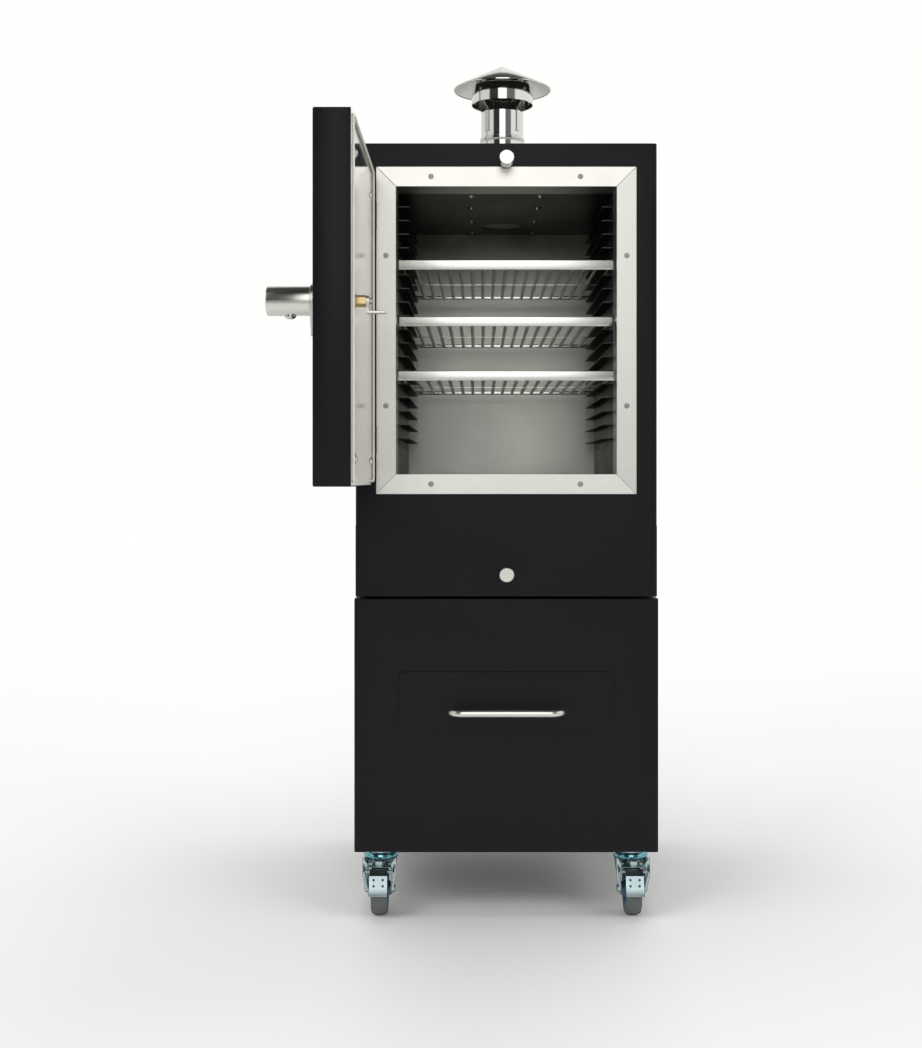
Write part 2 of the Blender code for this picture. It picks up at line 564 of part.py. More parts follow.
def latch(swing, front, back, y):
    """The turning handle: grip tube, back plate, spindle, brass nut and the latch tongue."""
    turn = body("latch", (back, y, LATCH_Z), swing)
    centre = (y, LATCH_Z)
    outline = []
    for k in range(25):
        angle = math.radians(-20 + 220 * k / 24)
        outline.append((y + 0.034 * math.cos(angle), LATCH_Z + 0.034 * math.sin(angle)))
    for k in range(9):
        angle = math.radians(200 + 140 * k / 8)
        outline.append((y + 0.013 * math.cos(angle), 1.366 + 0.013 * math.sin(angle)))
    plate = prism(outline, "X", (front - 0.0085, front - GAP))
    hole = rod("X", centre, (front - 0.05, front + 0.05), 0.0072, 16)
    node("handle_backplate", cut(plate, hole), BRUSHED, swing)

    plate_out = front - 0.0088
    grip = turned([(0, HANDLE_OUT), (0.0285, HANDLE_OUT), (0.030, HANDLE_OUT + 0.0015),
                   (0.030, plate_out), (0.0275, plate_out), (0.0275, HANDLE_OUT + 0.004),
                   (0, HANDLE_OUT + 0.004)], "X", centre, 40)
    screw = turned([(0, LATCH_Z - 0.0355), (0.003, LATCH_Z - 0.0350), (0.0055, LATCH_Z - 0.0325),
                    (0.0055, LATCH_Z - 0.0285), (0, LATCH_Z - 0.0285)],
                   "Z", (front - 0.047, y), 12)
    node("door_handle", fuse(grip, screw), BRUSHED, turn)
    inner_end = back + 0.0375
    node("latch_spindle", rod("X", centre, (HANDLE_OUT + 0.0043, inner_end), 0.006, 16),
         ZINC, turn)
    nut = fuse(turned([(0, back + GAP), (0.0145, back + GAP), (0.0145, back + 0.004),
                       (0, back + 0.004)], "X", centre, 24),
               turned([(0, back + 0.003), (0.0125, back + 0.003), (0.0125, back + 0.0255),
                       (0, back + 0.0255)], "X", centre, 6))
    node("latch_nut", cut(nut, rod("X", centre, (back - 0.01, back + 0.04), 0.0063, 16)),
         BRASS, turn)
    tongue_z = LATCH_Z - TONGUE_DROP
    arm_back, tip = back + 0.0260, back + 0.0660
    arm = fuse(rod("X", centre, (arm_back, arm_back + 0.006), 0.011, 24),
               block((arm_back, arm_back + 0.006), (y - 0.009, y + 0.009),
                     (tongue_z - 0.001, LATCH_Z)),
               block((arm_back, tip), (y - 0.012, y + 0.012),
                     (tongue_z - 0.0025, tongue_z + 0.0025), 0.0008, 1))
    node("latch_tongue",
         cut(arm, rod("X", centre, (arm_back - 0.01, arm_back + 0.02), 0.0063, 16)),
         BRUSHED, turn)


def castor(name, x, y, ahead, root, with_brake):
    """A swivel castor. ahead is -1 where the wheel stands in front of the swivel, +1 behind."""
    plate = fuse(block((x - 0.0525, x + 0.0525), (y - 0.0425, y + 0.0425), (0.1562, 0.1597)),
                 turned([(0, 0.1565), (0.030, 0.1565), (0.036, 0.1520), (0.036, 0.1465),
                         (0, 0.1465)], "Z", (x, y), 28))
    node(f"castor_plate_{name}", plate, ZINC, root)

    axle_y = y + ahead * CASTOR_TRAIL
    swivel = body(f"castor_swivel_{name}", (x, y, 0.1465), root)

    def leg_point(along, z):
        """A point in the wheel's plane, measured from the axle towards the trailing side."""
        return (axle_y - ahead * along, z)

    outline = [leg_point(0.068, 0.134), leg_point(0.006, 0.134), leg_point(-0.038, 0.126),
               leg_point(-0.055, 0.115), leg_point(-0.050, 0.104), leg_point(-0.013, 0.058),
               leg_point(-0.007, 0.050), leg_point(0.007, 0.050), leg_point(0.013, 0.058),
               leg_point(0.060, 0.104)]
    legs = []
    for side in (-1, 1):
        def splay(v, side=side):
            return 0.0262 + 0.0095 * max(0.0, min(1.0, (v - 0.066) / 0.060))
        legs.append(prism(outline, "X", (0, 1),
                          lambda u, v, end, side=side, splay=splay:
                          x + side * (splay(v) + (0.0030 if end else 0.0))))
    crown = turned([(0, 0.1461), (0.036, 0.1461), (0.0405, 0.140), (0.0405, 0.131),
                    (0.034, 0.1285), (0, 0.1285)], "Z", (x, y), 28)
    pins = [rod("X", (axle_y, AXLE_Z), (x - 0.037, x + 0.037), 0.0060, 12)]
    pins += [rod("X", (axle_y, AXLE_Z), (x + low, x + low + 0.0065), 0.0095, 6)
             for low in (-0.0352, 0.0287)]
    pivot = (axle_y - ahead * PEDAL_PIVOT[0], PEDAL_PIVOT[1])
    pins.append(rod("X", pivot, (x - 0.0360, x + 0.0360), 0.0030, 10))
    node(f"castor_fork_{name}", fuse(crown, *legs, *pins), ZINC, swivel)

    roll = body(f"castor_wheel_body_{name}", (x, axle_y, AXLE_Z), swivel)
    outer = WHEEL_R / math.cos(math.pi / WHEEL_STEPS)
    profile = [(outer, -0.008), (outer, 0.008), (outer - 0.0012, 0.014), (outer - 0.006, 0.0185),
               (0.050, WHEEL_HALF), (0.045, 0.0165), (0.020, 0.0165), (0.016, 0.0255),
               (0.0064, 0.0255), (0.0064, -0.0255), (0.016, -0.0255), (0.020, -0.0165),
               (0.045, -0.0165), (0.050, -WHEEL_HALF), (outer - 0.006, -0.0185),
               (outer - 0.0012, -0.014)]
    wheel = turned([(r, x + w) for r, w in profile], "X", (axle_y, AXLE_Z), WHEEL_STEPS)
    node(f"castor_wheel_{name}", wheel, TYRE, roll)

    if with_brake:
        press = body(f"brake_pedal_body_{name}", (x, *pivot), swivel)
        top = [(-0.0485, 0.1165), (-0.067, 0.107), (-0.0725, 0.081), (-0.0850, 0.064)]
        under = [(-0.0870, 0.0665), (-0.0755, 0.0825), (-0.070, 0.1095), (-0.0495, 0.1195)]
        tread = prism([leg_point(along, z) for along, z in top + under], "X",
                      (x - 0.0215, x + 0.0215))
        sleeve = rod("X", pivot, (x - 0.0215, x + 0.0215), 0.0058, 16)
        bore = rod("X", pivot, (x - 0.03, x + 0.03), 0.0033, 12)
        holes = [rod("Y", (x + dx, z), (leg_point(-0.11, 0)[0], leg_point(-0.05, 0)[0]), 0.003, 10)
                 for dx in (-0.011, 0.011) for z in (0.1005, 0.0865)]
        node(f"brake_pedal_{name}", cut(fuse(tread, sleeve), bore, *holes), ZINC, press)


def main():
    clear_scene()
    root = body("smoker")
    base_cabinet(root)
    drawer(root)
    oven_casing(root)
    door_frame(root)
    cooking_chamber(root)
    racks(root)
    flue(root)
    draught_slides(root)
    door(root)
    for side, x in (("left", -CASTOR_X), ("right", CASTOR_X)):
        castor(f"front_{side}", x, CASTOR_INSET, -1, root, True)
        castor(f"rear_{side}", x, OVEN_DEPTH - CASTOR_INSET, -1, root, False)


main()
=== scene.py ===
"""Looks of the cabinet smoker: finishes for every part and the finely made pieces over the frame."""

import logging
import math
from dataclasses import dataclass
from enum import Enum
from typing import Sequence

import bmesh
import bpy
from mathutils import Matrix, Vector


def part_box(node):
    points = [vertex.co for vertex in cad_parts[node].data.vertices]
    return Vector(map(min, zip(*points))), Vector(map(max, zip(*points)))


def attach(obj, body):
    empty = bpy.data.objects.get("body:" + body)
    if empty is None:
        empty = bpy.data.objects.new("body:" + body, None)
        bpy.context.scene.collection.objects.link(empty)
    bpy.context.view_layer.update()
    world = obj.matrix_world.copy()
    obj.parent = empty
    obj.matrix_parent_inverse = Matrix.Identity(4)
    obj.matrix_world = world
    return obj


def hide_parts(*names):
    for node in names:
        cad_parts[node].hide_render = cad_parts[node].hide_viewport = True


log = logging.getLogger("smoker")
SOFT_ANGLE = math.radians(32)       # edges that bend less than this are shaded smooth
FULL_TURN_STEPS = 96                # facets round a large turned piece
Point = tuple[float, float, float]
Point2 = tuple[float, float]

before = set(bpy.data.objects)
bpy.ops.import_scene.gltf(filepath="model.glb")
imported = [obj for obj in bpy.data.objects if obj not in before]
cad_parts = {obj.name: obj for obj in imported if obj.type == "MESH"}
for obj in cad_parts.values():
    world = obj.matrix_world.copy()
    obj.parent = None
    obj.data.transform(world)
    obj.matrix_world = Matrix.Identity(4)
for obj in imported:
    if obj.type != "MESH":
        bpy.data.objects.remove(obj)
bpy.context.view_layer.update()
OVEN_LOW, OVEN_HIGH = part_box("oven_casing")
MIDDLE_X = (OVEN_LOW[0] + OVEN_HIGH[0]) / 2     # the cabinet's centre plane
FRONT_Y = OVEN_LOW[1]                           # the oven's front face


class Grain(Enum):
    """Which way a brushed finish runs, as its noise scale along X, Y and Z."""

    ALONG_X = (4.0, 500.0, 500.0)
    ALONG_Y = (500.0, 4.0, 500.0)
    ALONG_Z = (500.0, 500.0, 4.0)
    EVEN = (90.0, 90.0, 90.0)


@dataclass(frozen=True)
class View:
    """The still's camera: level, square to the front, a little left of the centre plane."""

    lens_mm: float = 51.8
    shift: tuple[float, float] = (-0.0162, -0.0436)
    eye: Point = (-0.0685, -3.65, 1.064)


# ---- node groups ----
class Group:
    """A shader node group under construction."""

    def __init__(self, name: str, inputs: dict[str, float], outputs: Sequence[str]) -> None:
        """Opens a group.

        Args:
            name: The group's name.
            inputs: Input names with their default values.
            outputs: Output names, all plain values.
        """
        self.tree = bpy.data.node_groups.new(name, "ShaderNodeTree")
        for label, value in inputs.items():
            socket = self.tree.interface.new_socket(label, in_out="INPUT",
                                                    socket_type="NodeSocketFloat")
            socket.default_value = value
        for label in outputs:
            self.tree.interface.new_socket(label, in_out="OUTPUT", socket_type="NodeSocketFloat")
        self.enter = self.tree.nodes.new("NodeGroupInput")
        self.leave = self.tree.nodes.new("NodeGroupOutput")

    def add(self, kind: str, links: dict[str | int, object] | None = None,
            **settings: object) -> bpy.types.Node:
        """Adds a node.

        Args:
            kind: The node's type name.
            links: Input name or index to a value or to an output socket.
            **settings: Attributes of the node.

        Returns:
            The new node.
        """
        return add_node(self.tree, kind, links, **settings)


def add_node(tree: bpy.types.NodeTree, kind: str, links: dict[str | int, object] | None = None,
             **settings: object) -> bpy.types.Node:
    """Adds a node to a tree and fills its inputs.

    Args:
        tree: The tree.
        kind: The node's type name.
        links: Input name or index to a value or to an output socket.
        **settings: Attributes of the node.

    Returns:
        The new node.
    """
    node = tree.nodes.new(kind)
    for label, value in settings.items():
        setattr(node, label, value)
    for key, value in (links or {}).items():
        if isinstance(value, bpy.types.NodeSocket):
            tree.links.new(value, node.inputs[key])
        else:
            node.inputs[key].default_value = value
    return node


def grain_group() -> bpy.types.NodeTree:
    """Returns the brushed grain: fine scratches stretched along one axis, and their height."""
    group = Group("brushed_grain", {"Along X": 4, "Along Y": 500, "Along Z": 500}, ["Mask"])
    place = group.add("ShaderNodeTexCoord").outputs["Object"]
    scale = group.add("ShaderNodeCombineXYZ", {0: group.enter.outputs[0],
                                               1: group.enter.outputs[1],
                                               2: group.enter.outputs[2]})
    stretched = group.add("ShaderNodeVectorMath", {0: place, 1: scale.outputs[0]},
                          operation="MULTIPLY")
    fine = group.add("ShaderNodeTexNoise", {"Vector": stretched.outputs[0], "Scale": 1.0,
                                            "Detail": 4.0, "Roughness": 0.65})
    group.tree.links.new(fine.outputs["Fac"], group.leave.inputs["Mask"])
    return group.tree


def mottle_group() -> bpy.types.NodeTree:
    """Returns the broad patches of handling, heat and dust, with their size and contrast."""
    group = Group("mottle", {"Size": 6, "Contrast": 2.0}, ["Mask"])
    place = group.add("ShaderNodeTexCoord").outputs["Object"]
    cloud = group.add("ShaderNodeTexNoise", {"Vector": place, "Scale": group.enter.outputs["Size"],
                                             "Detail": 5.0, "Roughness": 0.6})
    centred = group.add("ShaderNodeMath", {0: cloud.outputs["Fac"], 1: 0.5},
                        operation="SUBTRACT")
    pushed = group.add("ShaderNodeMath", {0: centred.outputs[0],
                                          1: group.enter.outputs["Contrast"], 2: 0.5},
                       operation="MULTIPLY_ADD", use_clamp=True)
    group.tree.links.new(pushed.outputs[0], group.leave.inputs["Mask"])
    return group.tree


def orange_peel_group() -> bpy.types.NodeTree:
    """Returns the fine pebbled texture of powder coat as a height."""
    group = Group("orange_peel", {"Size": 700}, ["Height"])
    place = group.add("ShaderNodeTexCoord").outputs["Object"]
    cells = group.add("ShaderNodeTexNoise", {"Vector": place, "Scale": group.enter.outputs["Size"],
                                             "Detail": 2.0, "Roughness": 0.5})
    group.tree.links.new(cells.outputs["Fac"], group.leave.inputs["Height"])
    return group.tree


def soot_and_shade_group() -> bpy.types.NodeTree:
    """Returns the mask of soot with painted shade: heavy on side walls, ceiling and floor by their
    facing, and high up, light low on the rear wall.
    """
    group = Group("soot_and_shade", {"Low": 1.52, "High": 1.74, "Amount": 0.8}, ["Mask"])
    place = group.add("ShaderNodeTexCoord")
    height = group.add("ShaderNodeSeparateXYZ", {0: place.outputs["Object"]})
    facing = group.add("ShaderNodeSeparateXYZ", {0: place.outputs["Normal"]})
    rise = group.add("ShaderNodeMapRange", {0: height.outputs[2], 1: group.enter.outputs["Low"],
                                            2: group.enter.outputs["High"]})
    # Painted shade: faces turned sideways, up or down, and the upper cavity, are darkened as if out of
    # the light.
    across = group.add("ShaderNodeMath", {0: facing.outputs[0]}, operation="ABSOLUTE")
    upright = group.add("ShaderNodeMath", {0: facing.outputs[2]}, operation="ABSOLUTE")
    shaded = group.add("ShaderNodeMath", {0: across.outputs[0], 1: upright.outputs[0]},
                       operation="MAXIMUM")
    either = group.add("ShaderNodeMath", {0: rise.outputs[0], 1: shaded.outputs[0]},
                       operation="MAXIMUM")
    cloud = group.add("ShaderNodeTexNoise", {"Vector": place.outputs["Object"], "Scale": 5.0,
                                             "Detail": 6.0})
    patchy = group.add("ShaderNodeMapRange", {0: cloud.outputs["Fac"], 1: 0.2, 2: 0.75, 3: 0.75,
                                              4: 1.0})
    patchy_soot_and_shade = group.add("ShaderNodeMath", {0: either.outputs[0], 1: patchy.outputs[0]},
                     operation="MULTIPLY")
    mask = group.add("ShaderNodeMath", {0: patchy_soot_and_shade.outputs[0], 1: group.enter.outputs["Amount"]},
                     operation="MULTIPLY")
    group.tree.links.new(mask.outputs[0], group.leave.inputs["Mask"])
    return group.tree


# ---- finishes ----
@dataclass(frozen=True)
class Finish:
    """A surface finish. Rough spans the smoothest to the roughest patch."""

    name: str
    light: Point
    dark: Point
    rough: tuple[float, float]
    metal: float = 0.0
    grain: Grain = Grain.EVEN
    relief: float = 0.0
    patch: float = 6.0
    contrast: float = 2.0
    coat: float = 0.0
    specular: float = 0.5
    # Strength of the soot mask, which also paints shade on the side walls, ceiling and upper cavity.
    soot_and_shade: float = 0.0

    def build(self, groups: dict[str, bpy.types.NodeTree]) -> bpy.types.Material:
        """Makes the material.

        Args:
            groups: The shared node groups by name.

        Returns:
            The finished material.
        """
        material = bpy.data.materials.new(self.name)
        material.use_nodes = True
        tree = material.node_tree
        shader = tree.nodes["Principled BSDF"]
        shader.inputs["Metallic"].default_value = self.metal
        shader.inputs["Coat Weight"].default_value = self.coat
        shader.inputs["Specular IOR Level"].default_value = self.specular
        shader.inputs["Coat Roughness"].default_value = 0.25
        mottle = add_node(tree, "ShaderNodeGroup", node_tree=groups["mottle"])
        mottle.inputs["Size"].default_value = self.patch
        mottle.inputs["Contrast"].default_value = self.contrast
        if self.metal:
            fine = add_node(tree, "ShaderNodeGroup", node_tree=groups["grain"])
            for key, value in enumerate(self.grain.value):
                fine.inputs[key].default_value = value
        else:
            fine = add_node(tree, "ShaderNodeGroup", node_tree=groups["peel"])
        half = add_node(tree, "ShaderNodeMath", {0: fine.outputs[0], 1: mottle.outputs[0]},
                        operation="ADD")
        mixed = add_node(tree, "ShaderNodeMath", {0: half.outputs[0], 1: 0.5},
                         operation="MULTIPLY")
        colour = add_node(tree, "ShaderNodeMix", {0: mixed.outputs[0]}, data_type="RGBA")
        colour.inputs[6].default_value = (*self.dark, 1)
        colour.inputs[7].default_value = (*self.light, 1)
        # Soot and painted shade: the liner is mixed towards dark brown where the mask is strong.
        if self.soot_and_shade:
            soot_and_shade = add_node(tree, "ShaderNodeGroup", node_tree=groups["soot_and_shade"])
            soot_and_shade.inputs["Amount"].default_value = self.soot_and_shade
            colour = add_node(tree, "ShaderNodeMix", {0: soot_and_shade.outputs[0], 6: colour.outputs[2]},
                              data_type="RGBA")
            colour.inputs[7].default_value = (0.020, 0.015, 0.010, 1)
        tree.links.new(colour.outputs[2], shader.inputs["Base Color"])
        rough = add_node(tree, "ShaderNodeMapRange", {0: mixed.outputs[0], 3: self.rough[0],
                                                      4: self.rough[1]})
        tree.links.new(rough.outputs[0], shader.inputs["Roughness"])
        bump = add_node(tree, "ShaderNodeBump", {"Height": fine.outputs[0], "Strength": 0.5,
                                                 "Distance": self.relief})
        tree.links.new(bump.outputs[0], shader.inputs["Normal"])
        return material


FINISHES = (
    Finish("black_powder_coat", (0.0055, 0.0055, 0.0085), (0.0030, 0.0030, 0.0048), (0.34, 0.46),
           relief=0.0001, specular=0.22),
    Finish("brushed_along_x", (0.86, 0.85, 0.81), (0.70, 0.69, 0.65), (0.22, 0.40), 1.0,
           Grain.ALONG_X, 0.00003),
    # The upright strips and the latch plate: a darker copy of the same brushed steel, painted shade.
    Finish("shaded_brushed_along_z", (0.76, 0.75, 0.71), (0.56, 0.56, 0.52), (0.22, 0.40), 1.0,
           Grain.ALONG_Z, 0.00003),
    Finish("polished_panel", (0.72, 0.72, 0.70), (0.60, 0.60, 0.58), (0.07, 0.16), 1.0,
           Grain.ALONG_Z, 0.00001, 3.0, 1.5),
    # The liner: heat-toned steel, with soot and painted shade darkening its side walls, ceiling and
    # top.
    Finish("heat_toned_shaded_liner", (0.70, 0.71, 0.66), (0.50, 0.50, 0.45), (0.30, 0.48), 1.0,
           Grain.ALONG_X, 0.00004, 2.5, 3.0, soot_and_shade=0.92),
    Finish("bright_bar", (0.93, 0.93, 0.89), (0.78, 0.78, 0.74), (0.16, 0.30), 1.0,
           Grain.ALONG_X, 0.00002),
    # The rack's rods: a darker copy of the rack's bright steel, painted shade for rods deep in the
    # cavity.
    Finish("shaded_bright_rod", (0.56, 0.56, 0.52), (0.30, 0.30, 0.27), (0.22, 0.38), 1.0,
           Grain.ALONG_Y, 0.00002),
    Finish("turned_tube", (0.82, 0.81, 0.77), (0.64, 0.63, 0.58), (0.16, 0.30), 1.0,
           Grain.ALONG_X, 0.00003),
    Finish("mirror_steel", (0.84, 0.84, 0.81), (0.74, 0.74, 0.71), (0.05, 0.12), 1.0,
           Grain.ALONG_Z, 0.00001, 9.0, 1.5),
    Finish("satin_steel", (0.86, 0.85, 0.80), (0.74, 0.73, 0.68), (0.18, 0.30), 1.0,
           Grain.ALONG_X, 0.00002, 9.0, 1.5),
    # The rack ledges: very dark steel, for soot and painted shade along the cavity's side walls.
    Finish("sooty_shaded_ledge", (0.10, 0.10, 0.09), (0.05, 0.05, 0.045), (0.30, 0.50), 1.0,
           Grain.ALONG_Y, 0.00003, 9.0, 2.5),
    Finish("teal_race", (0.30, 0.66, 0.72), (0.12, 0.36, 0.44), (0.10, 0.20), 1.0,
           Grain.EVEN, 0.00001, 30.0, 3.0),
    Finish("dark_screw", (0.42, 0.41, 0.38), (0.24, 0.23, 0.21), (0.25, 0.40), 1.0,
           Grain.EVEN, 0.00002, 30.0),
    Finish("galvanised", (0.62, 0.63, 0.62), (0.44, 0.45, 0.45), (0.32, 0.48), 1.0,
           Grain.EVEN, 0.00003, 14.0, 3.0),
    Finish("zinc_plate", (0.66, 0.74, 0.74), (0.34, 0.50, 0.54), (0.24, 0.42), 1.0,
           Grain.EVEN, 0.00004, 22.0, 3.0),
    Finish("grey_tread", (0.16, 0.17, 0.17), (0.09, 0.10, 0.10), (0.55, 0.75), relief=0.0003,
           patch=30.0),
    Finish("blue_hub", (0.07, 0.16, 0.26), (0.04, 0.10, 0.17), (0.35, 0.50), relief=0.0001,
           patch=25.0),
    Finish("cream_seal", (0.84, 0.82, 0.75), (0.72, 0.70, 0.62), (0.50, 0.68), relief=0.0002,
           patch=12.0),
    Finish("mineral_wool", (0.66, 0.60, 0.40), (0.44, 0.38, 0.22), (0.90, 1.0), relief=0.002),
    Finish("brass_nut", (0.80, 0.62, 0.34), (0.60, 0.44, 0.20), (0.20, 0.36), 1.0,
           Grain.EVEN, 0.00002),
    Finish("ember_iron", (0.05, 0.045, 0.042), (0.02, 0.02, 0.02), (0.55, 0.80), 1.0,
           Grain.EVEN, 0.0003, 30.0),
    Finish("pale_floor", (0.90, 0.90, 0.90), (0.88, 0.88, 0.88), (0.6, 0.7), patch=1.0),
)
LOOKS: dict[str, bpy.types.Material] = {}


def make_finishes() -> None:
    """Builds every shared group and finish."""
    groups = {"grain": grain_group(), "mottle": mottle_group(), "peel": orange_peel_group(),
              "soot_and_shade": soot_and_shade_group()}
    for finish in FINISHES:
        LOOKS[finish.name] = finish.build(groups)
    log.info("%d finishes", len(LOOKS))


# ---- mesh helpers ----
def at(x: float, y: float, z: float) -> Vector:
    """Returns a point from X off the centre plane, Y behind the oven's front, and height."""
    return Vector((MIDDLE_X + x, FRONT_Y + y, z))


def piece(name: str, bm: bmesh.types.BMesh, look: str, body: str) -> bpy.types.Object:
    """Turns a bmesh into a finished piece on a body.

    Args:
        name: The piece's name.
        bm: Its shape, in the row frame. It is freed.
        look: The finish's name.
        body: The body that it rides on.

    Returns:
        The new object.
    """
    bmesh.ops.remove_doubles(bm, verts=bm.verts, dist=1e-6)
    bmesh.ops.recalc_face_normals(bm, faces=bm.faces)
    mesh = bpy.data.meshes.new(name)
    bm.to_mesh(mesh)
    bm.free()
    mesh.materials.append(LOOKS[look])
    mesh.shade_smooth()
    mesh.set_sharp_from_angle(angle=SOFT_ANGLE)
    obj = bpy.data.objects.new(name, mesh)
    bpy.context.scene.collection.objects.link(obj)
    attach(obj, body)
    log.info("%s on %s", name, body)
    return obj


def stands_for(node: str) -> None:
    """Lets a piece stand for a frame node by hiding the node."""
    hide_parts(node)


def lathe(bm: bmesh.types.BMesh, profile: Sequence[tuple[float, float]], axis: str,
          centre: Vector, steps: int = 64) -> None:
    """Turns a closed profile about an axis.

    Args:
        bm: The mesh to add to.
        profile: (radius, distance along the axis from the centre) points.
        axis: X, Y or Z.
        centre: A point on the axis.
        steps: Facets in a full turn.
    """
    turn = {"X": Matrix.Rotation(math.pi / 2, 4, "Y"), "Y": Matrix.Rotation(-math.pi / 2, 4, "X"),
            "Z": Matrix.Identity(4)}[axis]
    rings = []
    for radius, w in profile:
        count = steps if radius > 0 else 1
        rings.append([bm.verts.new(centre + turn @ Vector(
            (radius * math.cos(math.tau * k / steps), radius * math.sin(math.tau * k / steps), w)))
            for k in range(count)])
    for one, two in zip(rings, rings[1:] + rings[:1]):
        if len(one) == len(two) == 1:
            continue
        for k in range(steps):
            after = (k + 1) % steps
            corners = [one[k % len(one)], one[after % len(one)],
                       two[after % len(two)], two[k % len(two)]]
            bm.faces.new(list(dict.fromkeys(corners)))


def box(bm: bmesh.types.BMesh, low: Vector, high: Vector, edge: float = 0.0,
        steps: int = 3) -> None:
    """Adds a box with rounded edges.

    Args:
        bm: The mesh to add to.
        low: Its lowest corner.
        high: Its highest corner.
        edge: The rounding's width.
        steps: Facets across the rounding.
    """
    made = bmesh.ops.create_cube(bm, size=1)["verts"]
    for vert in made:
        vert.co = Vector(m + c * (b - a) for m, c, a, b in
                         zip((low + high) / 2, vert.co, low, high))
    if edge:
        edges = list({e for v in made for e in v.link_edges})
        bmesh.ops.bevel(bm, geom=edges, offset=edge, segments=steps, affect="EDGES", profile=0.5)


def strip(bm: bmesh.types.BMesh, outline: Sequence[tuple[float, float]], wide: float) -> None:
    """Adds a bent strap.

    Args:
        bm: The mesh to add to.
        outline: Its side view in X and Z.
        wide: Its width, evenly to both sides along Y.
    """
    ends = [[bm.verts.new((x, side * wide / 2, z)) for x, z in outline] for side in (-1, 1)]
    for k in range(len(outline)):
        after = (k + 1) % len(outline)
        bm.faces.new((ends[0][k], ends[0][after], ends[1][after], ends[1][k]))
    for end in ends:
        bm.faces.new(end)
    bmesh.ops.triangulate(bm, faces=[f for f in bm.faces if len(f.verts) > 4])


def sweep(bm: bmesh.types.BMesh, path: Sequence[Vector], radius: float, up: Vector,
          sides: int = 24) -> None:
    """Adds a round bar along a flat path.

    Args:
        bm: The mesh to add to.
        path: Points along its centre line.
        radius: The bar's radius.
        up: The direction square to the path's plane.
        sides: Facets round the bar.
    """
    rings = []
    for k, point in enumerate(path):
        along = (path[min(k + 1, len(path) - 1)] - path[max(k - 1, 0)]).normalized()
        side = along.cross(up)
        rings.append([bm.verts.new(point + radius * (side * math.cos(math.tau * s / sides)
                                                     + up * math.sin(math.tau * s / sides)))
                      for s in range(sides)])
    for one, two in zip(rings, rings[1:]):
        for s in range(sides):
            after = (s + 1) % sides
            bm.faces.new((one[s], one[after], two[after], two[s]))
    bm.faces.new(rings[0])
    bm.faces.new(rings[-1])


# ---- repeats ----
class Repeat:
    """A Geometry Nodes tree that sets one shape on every vertex of a mesh."""

    title = "shape_on_points"
    inputs = {"Points": "Geometry", "Shape": "Object", "Finish": "Material"}

    def __init__(self) -> None:
        """Builds the tree: shape on points, realised, with its finish."""
        self.tree = bpy.data.node_groups.new(self.title, "GeometryNodeTree")
        self.keys = {label: self.tree.interface.new_socket(
            label, in_out="INPUT", socket_type=f"NodeSocket{kind}").identifier
            for label, kind in self.inputs.items()}
        self.tree.interface.new_socket("Pieces", in_out="OUTPUT",
                                       socket_type="NodeSocketGeometry")
        enter = self.tree.nodes.new("NodeGroupInput").outputs
        real = add_node(self.tree, "GeometryNodeRealizeInstances", {0: self.copies(enter)})
        paint = add_node(self.tree, "GeometryNodeSetMaterial",
                         {"Geometry": real.outputs[0], "Material": enter["Finish"]})
        leave = self.tree.nodes.new("NodeGroupOutput")
        self.tree.links.new(paint.outputs[0], leave.inputs[0])

    def shape_of(self, enter: bpy.types.NodeOutputs) -> bpy.types.NodeSocket:
        """Returns the output that gives the repeated shape."""
        return add_node(self.tree, "GeometryNodeObjectInfo",
                        {"Object": enter["Shape"]}).outputs["Geometry"]

    def copies(self, enter: bpy.types.NodeOutputs) -> bpy.types.NodeSocket:
        """Adds the nodes that place the copies, and returns their output."""
        return add_node(self.tree, "GeometryNodeInstanceOnPoints",
                        {"Points": enter["Points"], "Instance": self.shape_of(enter)}).outputs[0]

    def make(self, name: str, shape: bmesh.types.BMesh, places: Sequence[Vector], look: str,
             body: str) -> bpy.types.Object:
        """Sets the shape at every place and bakes the result to one mesh.

        Args:
            name: The piece's name.
            shape: The repeated shape about its own origin. It is freed.
            places: Where the copies go.
            look: The finish's name.
            body: The body that they ride on.

        Returns:
            The finished piece.
        """
        points = bpy.data.meshes.new("points")
        points.from_pydata([tuple(p) for p in places], [], [])
        return self.bake(name, shape, points, {"Finish": LOOKS[look]}, body)

    def bake(self, name: str, shape: bmesh.types.BMesh, points: bpy.types.Mesh,
             values: dict[str, object], body: str) -> bpy.types.Object:
        """Runs the tree once and keeps its result as plain mesh.

        Args:
            name: The piece's name.
            shape: The repeated shape. It is freed.
            points: The mesh that the tree starts from.
            values: The tree's other inputs by name.
            body: The body that the piece rides on.

        Returns:
            The finished piece.
        """
        bmesh.ops.recalc_face_normals(shape, faces=shape.faces)
        mesh = bpy.data.meshes.new("shape")
        shape.to_mesh(mesh)
        shape.free()
        mesh.shade_smooth()
        mesh.set_sharp_from_angle(angle=SOFT_ANGLE)
        source = bpy.data.objects.new("shape", mesh)
        obj = bpy.data.objects.new(name, points)
        for one in (source, obj):
            bpy.context.scene.collection.objects.link(one)
        modifier = obj.modifiers.new("repeat", "NODES")
        modifier.node_group = self.tree
        for label, value in {"Shape": source, **values}.items():
            modifier[self.keys[label]] = value
        graph = bpy.context.evaluated_depsgraph_get()
        result = bpy.data.meshes.new_from_object(obj.evaluated_get(graph))
        obj.modifiers.clear()
        obj.data = result
        bpy.data.objects.remove(source)
        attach(obj, body)
        log.info("%s: %d faces on %s", name, len(result.polygons), body)
        return obj


